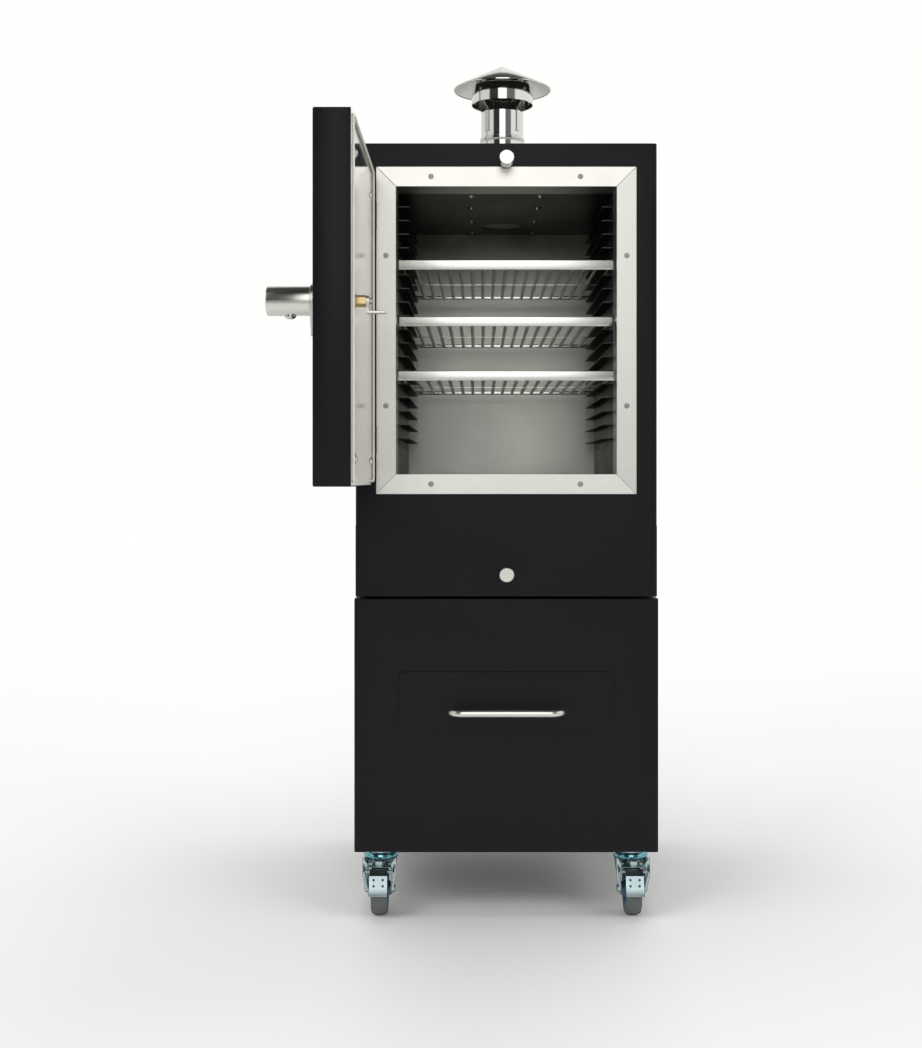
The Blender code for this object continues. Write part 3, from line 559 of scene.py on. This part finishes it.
class Ring(Repeat):
    """A Geometry Nodes tree that sets one shape round a circle, turned to face outwards."""

    title = "shape_round_circle"
    inputs = {"Shape": "Object", "Finish": "Material", "Count": "Int", "Radius": "Float",
              "Start": "Float", "Centre": "Vector"}

    def copies(self, enter: bpy.types.NodeOutputs) -> bpy.types.NodeSocket:
        """Adds the nodes that place the copies, and returns their output."""
        circle = add_node(self.tree, "GeometryNodeMeshCircle",
                          {"Vertices": enter["Count"], "Radius": enter["Radius"]})
        index = self.tree.nodes.new("GeometryNodeInputIndex")
        part = add_node(self.tree, "ShaderNodeMath", {0: index.outputs[0], 1: enter["Count"]},
                        operation="DIVIDE")
        turn = add_node(self.tree, "ShaderNodeMath", {0: part.outputs[0], 1: math.tau},
                        operation="MULTIPLY")
        turned = add_node(self.tree, "ShaderNodeCombineXYZ", {2: turn.outputs[0]})
        placed = add_node(self.tree, "GeometryNodeInstanceOnPoints",
                          {"Points": circle.outputs[0], "Instance": self.shape_of(enter),
                           "Rotation": turned.outputs[0]})
        start = add_node(self.tree, "ShaderNodeCombineXYZ", {2: enter["Start"]})
        return add_node(self.tree, "GeometryNodeTransform",
                        {"Geometry": placed.outputs[0], "Translation": enter["Centre"],
                         "Rotation": start.outputs[0]}).outputs[0]

    def set_round(self, name: str, shape: bmesh.types.BMesh, count: int, radius: float,
                  centre: Vector, look: str, body: str) -> bpy.types.Object:
        """Sets the shape round a circle, the first copy half a step from +X.

        Args:
            name: The piece's name.
            shape: The repeated shape, with +X outwards. It is freed.
            count: How many copies.
            radius: The circle's radius.
            centre: The circle's centre.
            look: The finish's name.
            body: The body that they ride on.

        Returns:
            The finished piece.
        """
        values = {"Finish": LOOKS[look], "Count": count, "Radius": radius,
                  "Start": math.pi / count, "Centre": tuple(centre)}
        return self.bake(name, shape, bpy.data.meshes.new("points"), values, body)


def soften_tree() -> bpy.types.NodeTree:
    """Returns a tree that joins loose facets and shades gentle edges smooth."""
    tree = bpy.data.node_groups.new("soften", "GeometryNodeTree")
    tree.interface.new_socket("Facets", in_out="INPUT", socket_type="NodeSocketGeometry")
    tree.interface.new_socket("Part", in_out="OUTPUT", socket_type="NodeSocketGeometry")
    enter = tree.nodes.new("NodeGroupInput")
    leave = tree.nodes.new("NodeGroupOutput")
    joined = add_node(tree, "GeometryNodeMergeByDistance",
                      {"Geometry": enter.outputs[0], "Distance": 1e-5})
    angle = tree.nodes.new("GeometryNodeInputMeshEdgeAngle")
    gentle = add_node(tree, "FunctionNodeCompare",
                      {0: angle.outputs[0], 1: SOFT_ANGLE}, operation="LESS_EQUAL")
    faces = add_node(tree, "GeometryNodeSetShadeSmooth", {"Geometry": joined.outputs[0]})
    edges = add_node(tree, "GeometryNodeSetShadeSmooth",
                     {"Geometry": faces.outputs[0], "Shade Smooth": gentle.outputs[0]},
                     domain="EDGE")
    tree.links.new(edges.outputs[0], leave.inputs[0])
    return tree


# ---- sub-assemblies ----
@dataclass
class CarriedParts:
    """The frame's own nodes that stay in view, with their finishes and softened edges."""

    black: str = "black_powder_coat"

    def look_of(self, name: str) -> str:
        """Returns the finish for a node.

        Args:
            name: The node's name.

        Returns:
            The finish's name.
        """
        exact = {"cavity_liner": "heat_toned_shaded_liner", "door_panel": "polished_panel",
                 "door_gasket": "cream_seal", "latch_nut": "brass_nut",
                 "latch_tongue": "brushed_along_x",
                 # The upright frame strips and the latch plate take the darker brushed steel: painted
                 # shade.
                 "door_handle": "turned_tube", "handle_backplate": "shaded_brushed_along_z",
                 "frame_left": "shaded_brushed_along_z", "frame_right": "shaded_brushed_along_z",
                 "frame_top": "brushed_along_x", "frame_bottom": "brushed_along_x",
                 "ember_well": "ember_iron", "charcoal_grate": "ember_iron",
                 "door_wool": "mineral_wool", "oven_insulation": "mineral_wool",
                 # Ledges in very dark steel: soot and painted shade.
                 "rack_ledges_left": "sooty_shaded_ledge", "rack_ledges_right": "sooty_shaded_ledge",
                 "damper_knob": "satin_steel", "shutter_knob": "satin_steel",
                 "oven_floor": "ember_iron", "oven_roof": "ember_iron"}
        if name in exact:
            return exact[name]
        if name.startswith(("castor", "brake")):
            return "zinc_plate"
        plain = ("drawer_shelf", "drawer_tray", "air_duct", "damper_", "shutter_", "latch_spindle")
        return "galvanised" if name.startswith(plain) else self.black

    def dress(self) -> None:
        """Gives every node its finish and joined facets, and the listed nodes a small rounded edge."""
        tree = soften_tree()
        rounded = {"door_pan": 0.0015, "drawer_front": 0.0015, "oven_casing": 0.0009,
                   "base_casing": 0.0009, "door_handle": 0.0008, "frame_left": 0.0008,
                   "frame_right": 0.0008, "frame_top": 0.0008, "frame_bottom": 0.0008,
                   "door_gasket": 0.0018, "damper_knob": 0.0012, "shutter_knob": 0.0012,
                   "handle_backplate": 0.0015, "latch_tongue": 0.0008, "latch_nut": 0.0007,
                   "brake_pedal_front_left": 0.0005, "brake_pedal_front_right": 0.0005}
        for name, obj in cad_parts.items():
            for holder in obj.material_slots:
                holder.material = LOOKS[self.look_of(name)]
            smooth = obj.modifiers.new("soften", "NODES")
            smooth.node_group = tree
            if name in rounded:
                bevel = obj.modifiers.new("round", "BEVEL")
                bevel.width = rounded[name]
                bevel.segments = 2
                bevel.limit_method = "ANGLE"
                bevel.angle_limit = math.radians(50)
        log.info("%d frame nodes dressed", len(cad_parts))


@dataclass
class Rack:
    """A rack: a tall bright front bar, round side bars and rear bar, and lengthwise rods."""

    level: str
    rods: int = 17
    rod_r: float = 0.0044
    rod_lift: float = 0.0052
    side: float = 0.012
    front: float = 0.004
    inset: float = 0.002

    def build(self, repeat: Repeat) -> None:
        """Makes the rack over its frame node.

        Args:
            repeat: The tree that sets one shape on many points.
        """
        low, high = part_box(f"rack_{self.level}")
        body = f"rack_{self.level}"
        bm = bmesh.new()
        box(bm, low, Vector((high.x, low.y + self.front, high.z)), 0.0018)
        bar = piece(f"{body}_front_bar", bm, "bright_bar", body)
        inset = self.inset
        bm = bmesh.new()
        for x in (low.x + inset, high.x - inset - self.side):
            box(bm, Vector((x, low.y + 0.0035, low.z)), Vector((x + self.side, high.y, low.z + 0.005)),
                0.0012)
        box(bm, Vector((low.x + inset, high.y - 0.008, low.z)),
            Vector((high.x - inset, high.y, low.z + 0.010)), 0.002)
        box(bm, Vector((low.x + inset, low.y + 0.300, low.z)),
            Vector((high.x - inset, low.y + 0.308, low.z + 0.0025)), 0.0008)
        rim = piece(f"{body}_rim", bm, "bright_bar", body)
        pitch = (high.x - low.x - 2 * (inset + self.side)) / (self.rods + 1)
        start = low.x + inset + self.side
        rod = bmesh.new()
        long = high.y - low.y - 2 * self.front
        lathe(rod, [(0, 0), (self.rod_r, 0), (self.rod_r, long), (0, long)], "Y",
              Vector((0, 0, 0)), 16)
        places = [Vector((start + pitch * (k + 1), low.y + 0.0035, low.z + self.rod_lift))
                  for k in range(self.rods)]
        # The rods take the darker copy of the steel: painted shade.
        rods = repeat.make(f"{body}_rods", rod, places, "shaded_bright_rod", body)
        for one in (bar, rim, rods):
            stands_for(f"rack_{self.level}")


def dome_screw(radius: float, tall: float, axis: str, out: float) -> bmesh.types.BMesh:
    """A dome-headed screw with a round socket and a washer, standing out along an axis.

    Args:
        radius: The head's radius.
        tall: The head's height.
        axis: X, Y or Z.
        out: 1 or -1, the way that the head faces.

    Returns:
        The mesh about the point where the washer meets the sheet.
    """
    bm = bmesh.new()
    washer = radius * 1.45
    profile = [(0, 0), (washer, 0), (washer, tall * 0.22), (radius, tall * 0.24),
               (radius * 0.96, tall * 0.55), (radius * 0.75, tall * 0.88),
               (radius * 0.45, tall), (radius * 0.40, tall * 0.6), (0, tall * 0.6)]
    lathe(bm, [(r, out * w) for r, w in profile], axis, Vector((0, 0, 0)), 18)
    return bm


@dataclass
class Fasteners:
    """Every group of screws and nuts, one Geometry Nodes piece for each."""

    frame_y: float = -0.008
    frame_rows: tuple[float, ...] = (1.050, 1.793)
    frame_columns: tuple[float, ...] = (-0.182, 0.179)
    side_rows: tuple[float, ...] = (1.239, 1.602)
    side_columns: tuple[float, ...] = (-0.291, 0.291)
    ceiling_columns: tuple[float, ...] = (-0.086, 0.086)
    ceiling_rows: tuple[float, ...] = (0.130, 0.296, 0.500, 0.684)
    leaf: float = 0.0043
    flush: float = 0.00045

    def build(self, repeat: Repeat) -> None:
        """Sets the screws of the frame, ceiling, door, hinges and castor plates.

        Args:
            repeat: The tree that sets one shape on many points.
        """
        spots = [at(x, self.frame_y, z) for x in self.frame_columns for z in self.frame_rows]
        spots += [at(x, self.frame_y, z) for x in self.side_columns for z in self.side_rows]
        repeat.make("frame_screws", dome_screw(0.0048, self.flush, "Y", -1), spots, "dark_screw",
                    "cabinet")
        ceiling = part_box("cavity_liner")[1][2] - 0.002
        spots = [at(x, y, ceiling) for x in self.ceiling_columns for y in self.ceiling_rows]
        repeat.make("ceiling_nuts", dome_screw(0.0080, 0.0075, "Z", -1), spots, "dark_screw",
                    "cabinet")
        (_, near, low), (back, far, high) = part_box("door_panel")
        spots = [Vector((back, y, z)) for y in (near + 0.10, far - 0.045)
                 for z in (low + 0.055, high - 0.070)]
        repeat.make("door_bolts", dome_screw(0.0075, 0.0045, "X", 1), spots, "satin_steel", "door")
        spots = []
        for half in ("lower", "upper"):
            (left, _, low), (_, _, high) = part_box(f"hinge_{half}_fixed")
            spots += [Vector((left + 0.012, FRONT_Y - self.leaf, low + (high - low) * share))
                      for share in (0.22, 0.78)]
        repeat.make("hinge_screws", dome_screw(0.0042, 0.0010, "Y", -1), spots,
                    "black_powder_coat", "cabinet")
        spots = []
        for end in ("front", "rear"):
            for side in ("left", "right"):
                (x0, y0, _), (x1, y1, z1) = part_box(f"castor_plate_{end}_{side}")
                spots += [Vector((x, y, z1 - 0.0035)) for x in (x0 + 0.012, x1 - 0.012)
                          for y in (y0 + 0.010, y1 - 0.010)]
        repeat.make("castor_bolts", dome_screw(0.0062, 0.0050, "Z", -1), spots, "zinc_plate",
                    "cabinet")


@dataclass
class Castor:
    """A castor wheel: a grey tread on a blue moulded centre with a bored hub."""

    place: str
    radius: float = 0.0625
    drop: float = 0.0030
    flat: float = 0.0165
    half: float = 0.0185

    def build(self) -> None:
        """Makes the tread and the centre over the frame's wheel."""
        low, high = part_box(f"castor_wheel_{self.place}")
        centre = (low + high) / 2
        body = f"castor_wheel_{self.place}"
        r, half = self.radius, self.half
        crown = [(r - self.drop * (step / 6) ** 2, self.flat * step / 6) for step in range(7)]
        outer = [(a, -w) for a, w in reversed(crown[1:])] + crown
        bm = bmesh.new()
        lathe(bm, [*outer, (r - 0.0062, half), (r - 0.0125, half), (r - 0.0125, -half),
                   (r - 0.0062, -half)], "X", centre, FULL_TURN_STEPS)
        tread = piece(f"castor_tread_{self.place}", bm, "grey_tread", body)
        rim = r - 0.0128
        web = [(rim, 0.0182), (rim - 0.004, 0.0192), (rim - 0.009, 0.0165), (rim - 0.012, 0.010),
               (0.026, 0.009), (0.021, 0.014), (0.017, 0.0235), (0.0155, 0.0255), (0.0064, 0.0255)]
        bm = bmesh.new()
        lathe(bm, web + [(a, -w) for a, w in reversed(web)], "X", centre, FULL_TURN_STEPS)
        hub = piece(f"castor_centre_{self.place}", bm, "blue_hub", body)
        for one in (tread, hub):
            stands_for(f"castor_wheel_{self.place}")


@dataclass
class DrawerHandle:
    """The bent round bar on the drawer's front."""

    radius: float = 0.0095
    corner: float = 0.030
    steps: int = 12

    def build(self) -> None:
        """Sweeps the bar through two quarter bends between its two ends."""
        low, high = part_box("drawer_handle")
        z = (low.z + high.z) / 2
        left, right = low.x + self.radius, high.x - self.radius
        out, foot = low.y + self.radius, high.y
        path = [Vector((left, foot, z))]
        for centre_x, start in ((left + self.corner, 180), (right - self.corner, 270)):
            centre = Vector((centre_x, out + self.corner, z))
            for k in range(self.steps + 1):
                angle = math.radians(start + 90 * k / self.steps)
                path.append(centre + self.corner * Vector((math.cos(angle), math.sin(angle), 0)))
        path.append(Vector((right, foot, z)))
        bm = bmesh.new()
        sweep(bm, path, self.radius, Vector((0, 0, 1)))
        handle = piece("drawer_handle_bar", bm, "satin_steel", "drawer")
        stands_for("drawer_handle")


@dataclass
class Flue:
    """The chimney in mirror steel: sleeve, pipe with a rolled lip, wind band, stays, rain cap."""

    sheet: float = 0.002
    stays: int = 4
    stay_wide: float = 0.012
    stay_thick: float = 0.003
    stay_foot: float = 0.0606
    stay_bend: float = 2.092
    hoop: Point2 = (2.114, 2.166)
    rivet_z: float = 2.150

    def shell(self, name: str, outline: Sequence[tuple[float, float]], node: str,
              centre: Vector) -> None:
        """Turns one thin part of the chimney and puts it over its node.

        Args:
            name: The piece's name.
            outline: Its closed profile as (radius, height).
            node: The node that it stands for.
            centre: A point on the chimney's axis.
        """
        bm = bmesh.new()
        lathe(bm, outline, "Z", Vector((centre.x, centre.y, 0)), FULL_TURN_STEPS)
        part = piece(name, bm, "mirror_steel", "cabinet")
        stands_for(node)

    def build(self, ring: Ring) -> None:
        """Makes every part of the chimney from the boxes of its nodes.

        Args:
            ring: The tree that sets shapes round a circle.
        """
        low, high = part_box("flue_pipe")
        centre = (low + high) / 2
        r, t = (high.x - low.x) / 2, self.sheet
        self.shell("chimney_pipe", [(r, low.z), (r, high.z - 0.0012), (r - t / 2, high.z),
                                    (r - t, high.z - 0.0012), (r - t, low.z)], "flue_pipe", centre)
        low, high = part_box("flue_sleeve")
        r = (high.x - low.x) / 2
        inner = r - 0.0029
        top = high.z
        self.shell("chimney_sleeve", [(inner, low.z), (r, low.z), (r, top - 0.0165),
                                      (r - 0.0007, top - 0.0150), (r - 0.0007, top - 0.0130),
                                      (r, top - 0.0115), (r, top - 0.0010), (r - 0.0010, top),
                                      (inner, top)], "flue_sleeve", centre)
        low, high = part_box("rain_cap")
        r, apex, rim = (high.x - low.x) / 2, high.z, low.z + 0.004
        self.shell("rain_hood", [(0, apex), (0.004, apex - 0.0010), (r - 0.001, rim + 0.0005),
                                 (r, rim - 0.0008), (r, low.z + 0.0008), (r - 0.0008, low.z),
                                 (r - 0.0022, low.z + 0.0006), (r - 0.0022, rim - 0.0015),
                                 (0.004, apex - 0.0042), (0, apex - 0.0032)], "rain_cap", centre)
        self.band(ring, centre)

    def band(self, ring: Ring, centre: Vector) -> None:
        """Makes the wind band with its bent stays and their rivets.

        Args:
            ring: The tree that sets shapes round a circle.
            centre: A point on the chimney's axis.
        """
        low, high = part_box("wind_band")
        r, t = (high.x - low.x) / 2, self.sheet
        bottom, top = self.hoop
        self.shell("wind_hoop", [(r, bottom + 0.001), (r, top - 0.001), (r - t / 2, top),
                                 (r - t, top - 0.001), (r - t, bottom + 0.001),
                                 (r - t / 2, bottom)], "wind_band", centre)
        foot, thick = self.stay_foot, self.stay_thick
        outer = r - foot - 0.0005
        bend = [(0, low.z), (thick, low.z), (thick, self.stay_bend), (outer, bottom + 0.004),
                (outer, high.z), (outer - thick, high.z), (outer - thick, bottom + 0.007),
                (0, self.stay_bend + 0.004)]
        stay = bmesh.new()
        strip(stay, bend, self.stay_wide)
        stays = ring.set_round("chimney_stays", stay, self.stays, foot,
                               Vector((centre.x, centre.y, 0)), "satin_steel", "cabinet")
        stands_for("wind_band")
        rivets = ring.set_round("hoop_rivets", dome_screw(0.0028, 0.0016, "X", 1), self.stays,
                                r - 0.0002, Vector((centre.x, centre.y, self.rivet_z)),
                                "satin_steel", "cabinet")


@dataclass
class TurnHandle:
    """The door's big round grip with its closed end and the dome screw under it."""

    radius: float = 0.030
    wall: float = 0.0025
    screw_r: float = 0.0115

    def build(self) -> None:
        """Turns the grip and its screw over the frame's node."""
        low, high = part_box("door_handle")
        r, t = self.radius, self.wall
        centre = Vector((0, (low.y + high.y) / 2, high.z - r))
        bm = bmesh.new()
        lathe(bm, [(0, low.x), (r - 0.0035, low.x), (r - 0.0012, low.x + 0.0007),
                   (r, low.x + 0.0030), (r, high.x - 0.0006), (r - 0.0006, high.x),
                   (r - t, high.x), (r - t, low.x + 0.004), (0, low.x + 0.004)], "X", centre,
              FULL_TURN_STEPS)
        screw = [(0, 0), (0.0045, 0.0004), (0.0085, 0.0020), (self.screw_r, 0.0050),
                 (self.screw_r, 0.0110), (0, 0.0110)]
        place = Vector(((low.x + high.x) / 2 + 0.003, centre.y, low.z - 0.0020))
        lathe(bm, screw, "Z", place, 32)
        grip = piece("turn_grip", bm, "turned_tube", "latch")
        stands_for("door_handle")


@dataclass
class PullKnob:
    """A faceted pull knob with a round collar behind it, bored for its rod."""

    node: str
    body: str
    sides: int = 12
    collar_r: float = 0.0150
    bore_r: float = 0.0053

    def build(self) -> None:
        """Turns the collar and the grip over the frame's knob."""
        low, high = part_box(self.node)
        r, front, back = (high.z - low.z) / 2, low.y, high.y
        centre = Vector(((low.x + high.x) / 2, 0, (low.z + high.z) / 2))
        bm = bmesh.new()
        lathe(bm, [(0, front), (r - 0.0016, front), (r - 0.0002, front + 0.0016),
                   (r - 0.0002, back - 0.0090), (r - 0.0022, back - 0.0060),
                   (self.bore_r, back - 0.0060), (self.bore_r, front + 0.012),
                   (0, front + 0.012)], "Y", centre, self.sides)
        lathe(bm, [(self.bore_r, back - 0.0062), (self.collar_r, back - 0.0062),
                   (self.collar_r, back - 0.0006), (self.collar_r - 0.0006, back),
                   (self.bore_r, back)], "Y", centre, 48)
        knob = piece(f"{self.body}_pull", bm, "satin_steel", self.body)
        stands_for(self.node)


@dataclass
class CastorTrim:
    """The swivel race, fork flanges and back web of a castor, and the brake's hex bolt."""

    place: str
    race_r: float = 0.0412
    bolt_r: float = 0.0155
    neck_r: float = 0.0100
    axle_ahead: float = 0.040
    flange: tuple[Point2, ...] = ((0.0402, 0.1450), (0.0402, 0.1000), (0.0360, 0.0820),
                                  (0.0335, 0.0660), (0.0298, 0.0660), (0.0310, 0.0820),
                                  (0.0295, 0.1000), (0.0290, 0.1285))

    def fork(self, hub: Vector, body: str) -> None:
        """Adds the folded front edges of the legs and the web behind the wheel.

        Args:
            hub: A point on the swivel's axis.
            body: The body that the fork is on.
        """
        axle_y = hub.y - self.axle_ahead
        bm = bmesh.new()
        for side in (-1, 1):
            ends = [[bm.verts.new((hub.x + side * x, axle_y + y, z)) for x, z in self.flange]
                    for y in (-0.0300, -0.0275)]
            for k in range(len(self.flange)):
                after = (k + 1) % len(self.flange)
                bm.faces.new((ends[0][k], ends[0][after], ends[1][after], ends[1][k]))
            for end in ends:
                bm.faces.new(end)
        bmesh.ops.triangulate(bm, faces=[f for f in bm.faces if len(f.verts) > 4])
        box(bm, Vector((hub.x - 0.0355, axle_y + 0.0650, 0.1060)),
            Vector((hub.x + 0.0355, axle_y + 0.0672, 0.1340)), 0.0004, 1)
        piece(f"fork_edges_{self.place}", bm, "zinc_plate", body)

    def build(self) -> None:
        """Makes the race, the fork's edges, the bracket and the bolt."""
        low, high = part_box(f"castor_plate_{self.place}")
        hub = (low + high) / 2
        body = f"castor_swivel_{self.place}"
        bm = bmesh.new()
        r = self.race_r
        lathe(bm, [(r - 0.005, 0.1462), (r - 0.003, 0.1462), (r, 0.1410), (r, 0.1320),
                   (r - 0.003, 0.1294), (r - 0.005, 0.1294)], "Z", Vector((hub.x, hub.y, 0)), 72)
        piece(f"swivel_race_{self.place}", bm, "teal_race", body)
        self.fork(hub, body)
        if "front" not in self.place:
            return
        y = hub.y - 0.0685
        bm = bmesh.new()
        box(bm, Vector((hub.x - 0.0350, y - 0.0150, 0.1228)),
            Vector((hub.x + 0.0350, y + 0.0100, 0.1240)), 0.0004, 1)
        lathe(bm, [(0, 0.1236), (self.neck_r, 0.1236), (self.neck_r, 0.1290), (0, 0.1290)], "Z",
              Vector((hub.x, y, 0)), 32)
        lathe(bm, [(0, 0.1285), (self.bolt_r - 0.001, 0.1285), (self.bolt_r, 0.1295),
                   (self.bolt_r, 0.1368), (self.bolt_r - 0.002, 0.1385), (0, 0.1390)], "Z",
              Vector((hub.x, y, 0)), 6)
        piece(f"brake_bolt_{self.place}", bm, "zinc_plate", body)


class Stage:
    """The pale floor, the soft lights and the camera."""

    FLOOR = 30.0        # half of the floor's side
    GAIN = 1.8          # strength of a full stop in the two ramps below
    # Brightness by bearing, a full turn from behind, left, front, right to behind again.
    SIDES = ((0.0, 0.45), (0.22, 0.45), (0.235, 0.12), (0.26, 0.42), (0.355, 0.42), (0.37, 0.02),
             (0.455, 0.02), (0.462, 1.0), (0.538, 1.0), (0.545, 0.09), (0.625, 0.09),
             (0.64, 0.50), (1.0, 0.50))
    # Brightness by height, from straight down through level at a half to straight up.
    LEVELS = ((0.0, 0.45), (0.42, 0.45), (0.44, 0.55), (0.56, 0.75), (0.60, 1.0), (0.84, 1.0),
              (0.89, 0.12), (1.0, 0.06))

    def build(self) -> None:
        """Makes the stage."""
        bm = bmesh.new()
        bmesh.ops.create_grid(bm, x_segments=1, y_segments=1, size=self.FLOOR)
        mesh = bpy.data.meshes.new("floor")
        bm.to_mesh(mesh)
        bm.free()
        mesh.materials.append(LOOKS["pale_floor"])
        floor = bpy.data.objects.new("floor", mesh)
        bpy.context.scene.collection.objects.link(floor)
        floor.is_shadow_catcher = True
        self.surroundings()
        self.light("key", at(-2.4, -3.0, 3.4), 2.0, 60)
        self.light("fill", at(2.8, -3.2, 2.4), 1.8, 35)
        self.light("top", at(0.0, 0.6, 4.6), 3.0, 90)
        self.camera()
        bpy.context.scene.view_settings.view_transform = "Standard"

    def surroundings(self) -> None:
        """Makes the studio around: white to the eye, with pale sides and a dark gap in front."""
        world = bpy.data.worlds.new("studio")
        bpy.context.scene.world = world
        world.use_nodes = True
        tree = world.node_tree
        sky = tree.nodes["Background"]
        way = add_node(tree, "ShaderNodeSeparateXYZ",
                       {0: add_node(tree, "ShaderNodeTexCoord").outputs["Generated"]}).outputs
        ahead = add_node(tree, "ShaderNodeMath", {0: way[1], 1: -1.0}, operation="MULTIPLY")
        turn = add_node(tree, "ShaderNodeMath", {0: way[0], 1: ahead.outputs[0]},
                        operation="ARCTAN2")
        around = add_node(tree, "ShaderNodeMapRange",
                          {0: turn.outputs[0], 1: -math.pi, 2: math.pi})
        sides = add_node(tree, "ShaderNodeValToRGB", {0: around.outputs[0]})
        self.stops(sides, self.SIDES)
        rise = add_node(tree, "ShaderNodeMapRange", {0: way[2], 1: -1.0, 2: 1.0})
        levels = add_node(tree, "ShaderNodeValToRGB", {0: rise.outputs[0]})
        self.stops(levels, self.LEVELS)
        below = add_node(tree, "ShaderNodeMath", {0: way[2], 1: -0.15}, operation="LESS_THAN")
        mixed = add_node(tree, "ShaderNodeMix",
                         {0: below.outputs[0], 2: sides.outputs[0], 3: levels.outputs[0]})
        scaled = add_node(tree, "ShaderNodeMath", {0: mixed.outputs[0], 1: levels.outputs[0]},
                          operation="MULTIPLY")
        lifted = add_node(tree, "ShaderNodeMath", {0: scaled.outputs[0], 1: self.GAIN},
                          operation="MULTIPLY")
        seen = add_node(tree, "ShaderNodeLightPath").outputs["Is Camera Ray"]
        strength = add_node(tree, "ShaderNodeMix", {0: seen, 2: lifted.outputs[0], 3: 1.0})
        sky.inputs["Color"].default_value = (1.0, 1.0, 0.985, 1)
        tree.links.new(strength.outputs[0], sky.inputs["Strength"])

    @staticmethod
    def stops(ramp: bpy.types.Node, values: Sequence[tuple[float, float]]) -> None:
        """Fills a colour ramp.

        Args:
            ramp: The ramp's node.
            values: Its (position, grey) stops in order.
        """
        elements = ramp.color_ramp.elements
        while len(elements) > 1:
            elements.remove(elements[-1])
        elements[0].position = values[0][0]
        elements[0].color = (values[0][1],) * 3 + (1,)
        for where, grey in values[1:]:
            elements.new(where).color = (grey, grey, grey, 1)

    def light(self, name: str, place: Vector, size: float, power: float) -> None:
        """Adds a soft light that faces the middle of the oven and shows in no reflection.

        Args:
            name: The light's name.
            place: Where it stands.
            size: The side of its square.
            power: Its power in watts.
        """
        lamp = bpy.data.lights.new(name, "AREA")
        lamp.size = size
        lamp.energy = power
        obj = bpy.data.objects.new(name, lamp)
        bpy.context.scene.collection.objects.link(obj)
        obj.location = place
        obj.rotation_euler = (at(0, 0.2, 1.1) - place).to_track_quat("-Z", "Y").to_euler()
        obj.visible_glossy = False

    def camera(self) -> None:
        """Sets the camera level, square to the front."""
        data = bpy.data.cameras.new("camera")
        view = View()
        data.lens = view.lens_mm
        data.sensor_width = 36.0
        data.sensor_fit = "AUTO"
        data.shift_x, data.shift_y = view.shift
        camera = bpy.data.objects.new("camera", data)
        bpy.context.scene.collection.objects.link(camera)
        camera.location = at(*view.eye)
        camera.rotation_euler = (math.pi / 2, 0, 0)
        bpy.context.scene.camera = camera


def main() -> None:
    """Builds the finishes, the pieces and the stage in order."""
    logging.basicConfig(level=logging.INFO)
    make_finishes()
    CarriedParts().dress()
    repeat = Repeat()
    for level in ("upper", "middle", "lower"):
        Rack(level).build(repeat)
    Fasteners().build(repeat)
    for place in ("front_left", "front_right", "rear_left", "rear_right"):
        Castor(place).build()
        CastorTrim(place).build()
    Flue().build(Ring())
    TurnHandle().build()
    PullKnob("damper_knob", "damper").build()
    PullKnob("shutter_knob", "air_shutter").build()
    DrawerHandle().build()
    Stage().build()


if __name__ == "__main__":
    main()
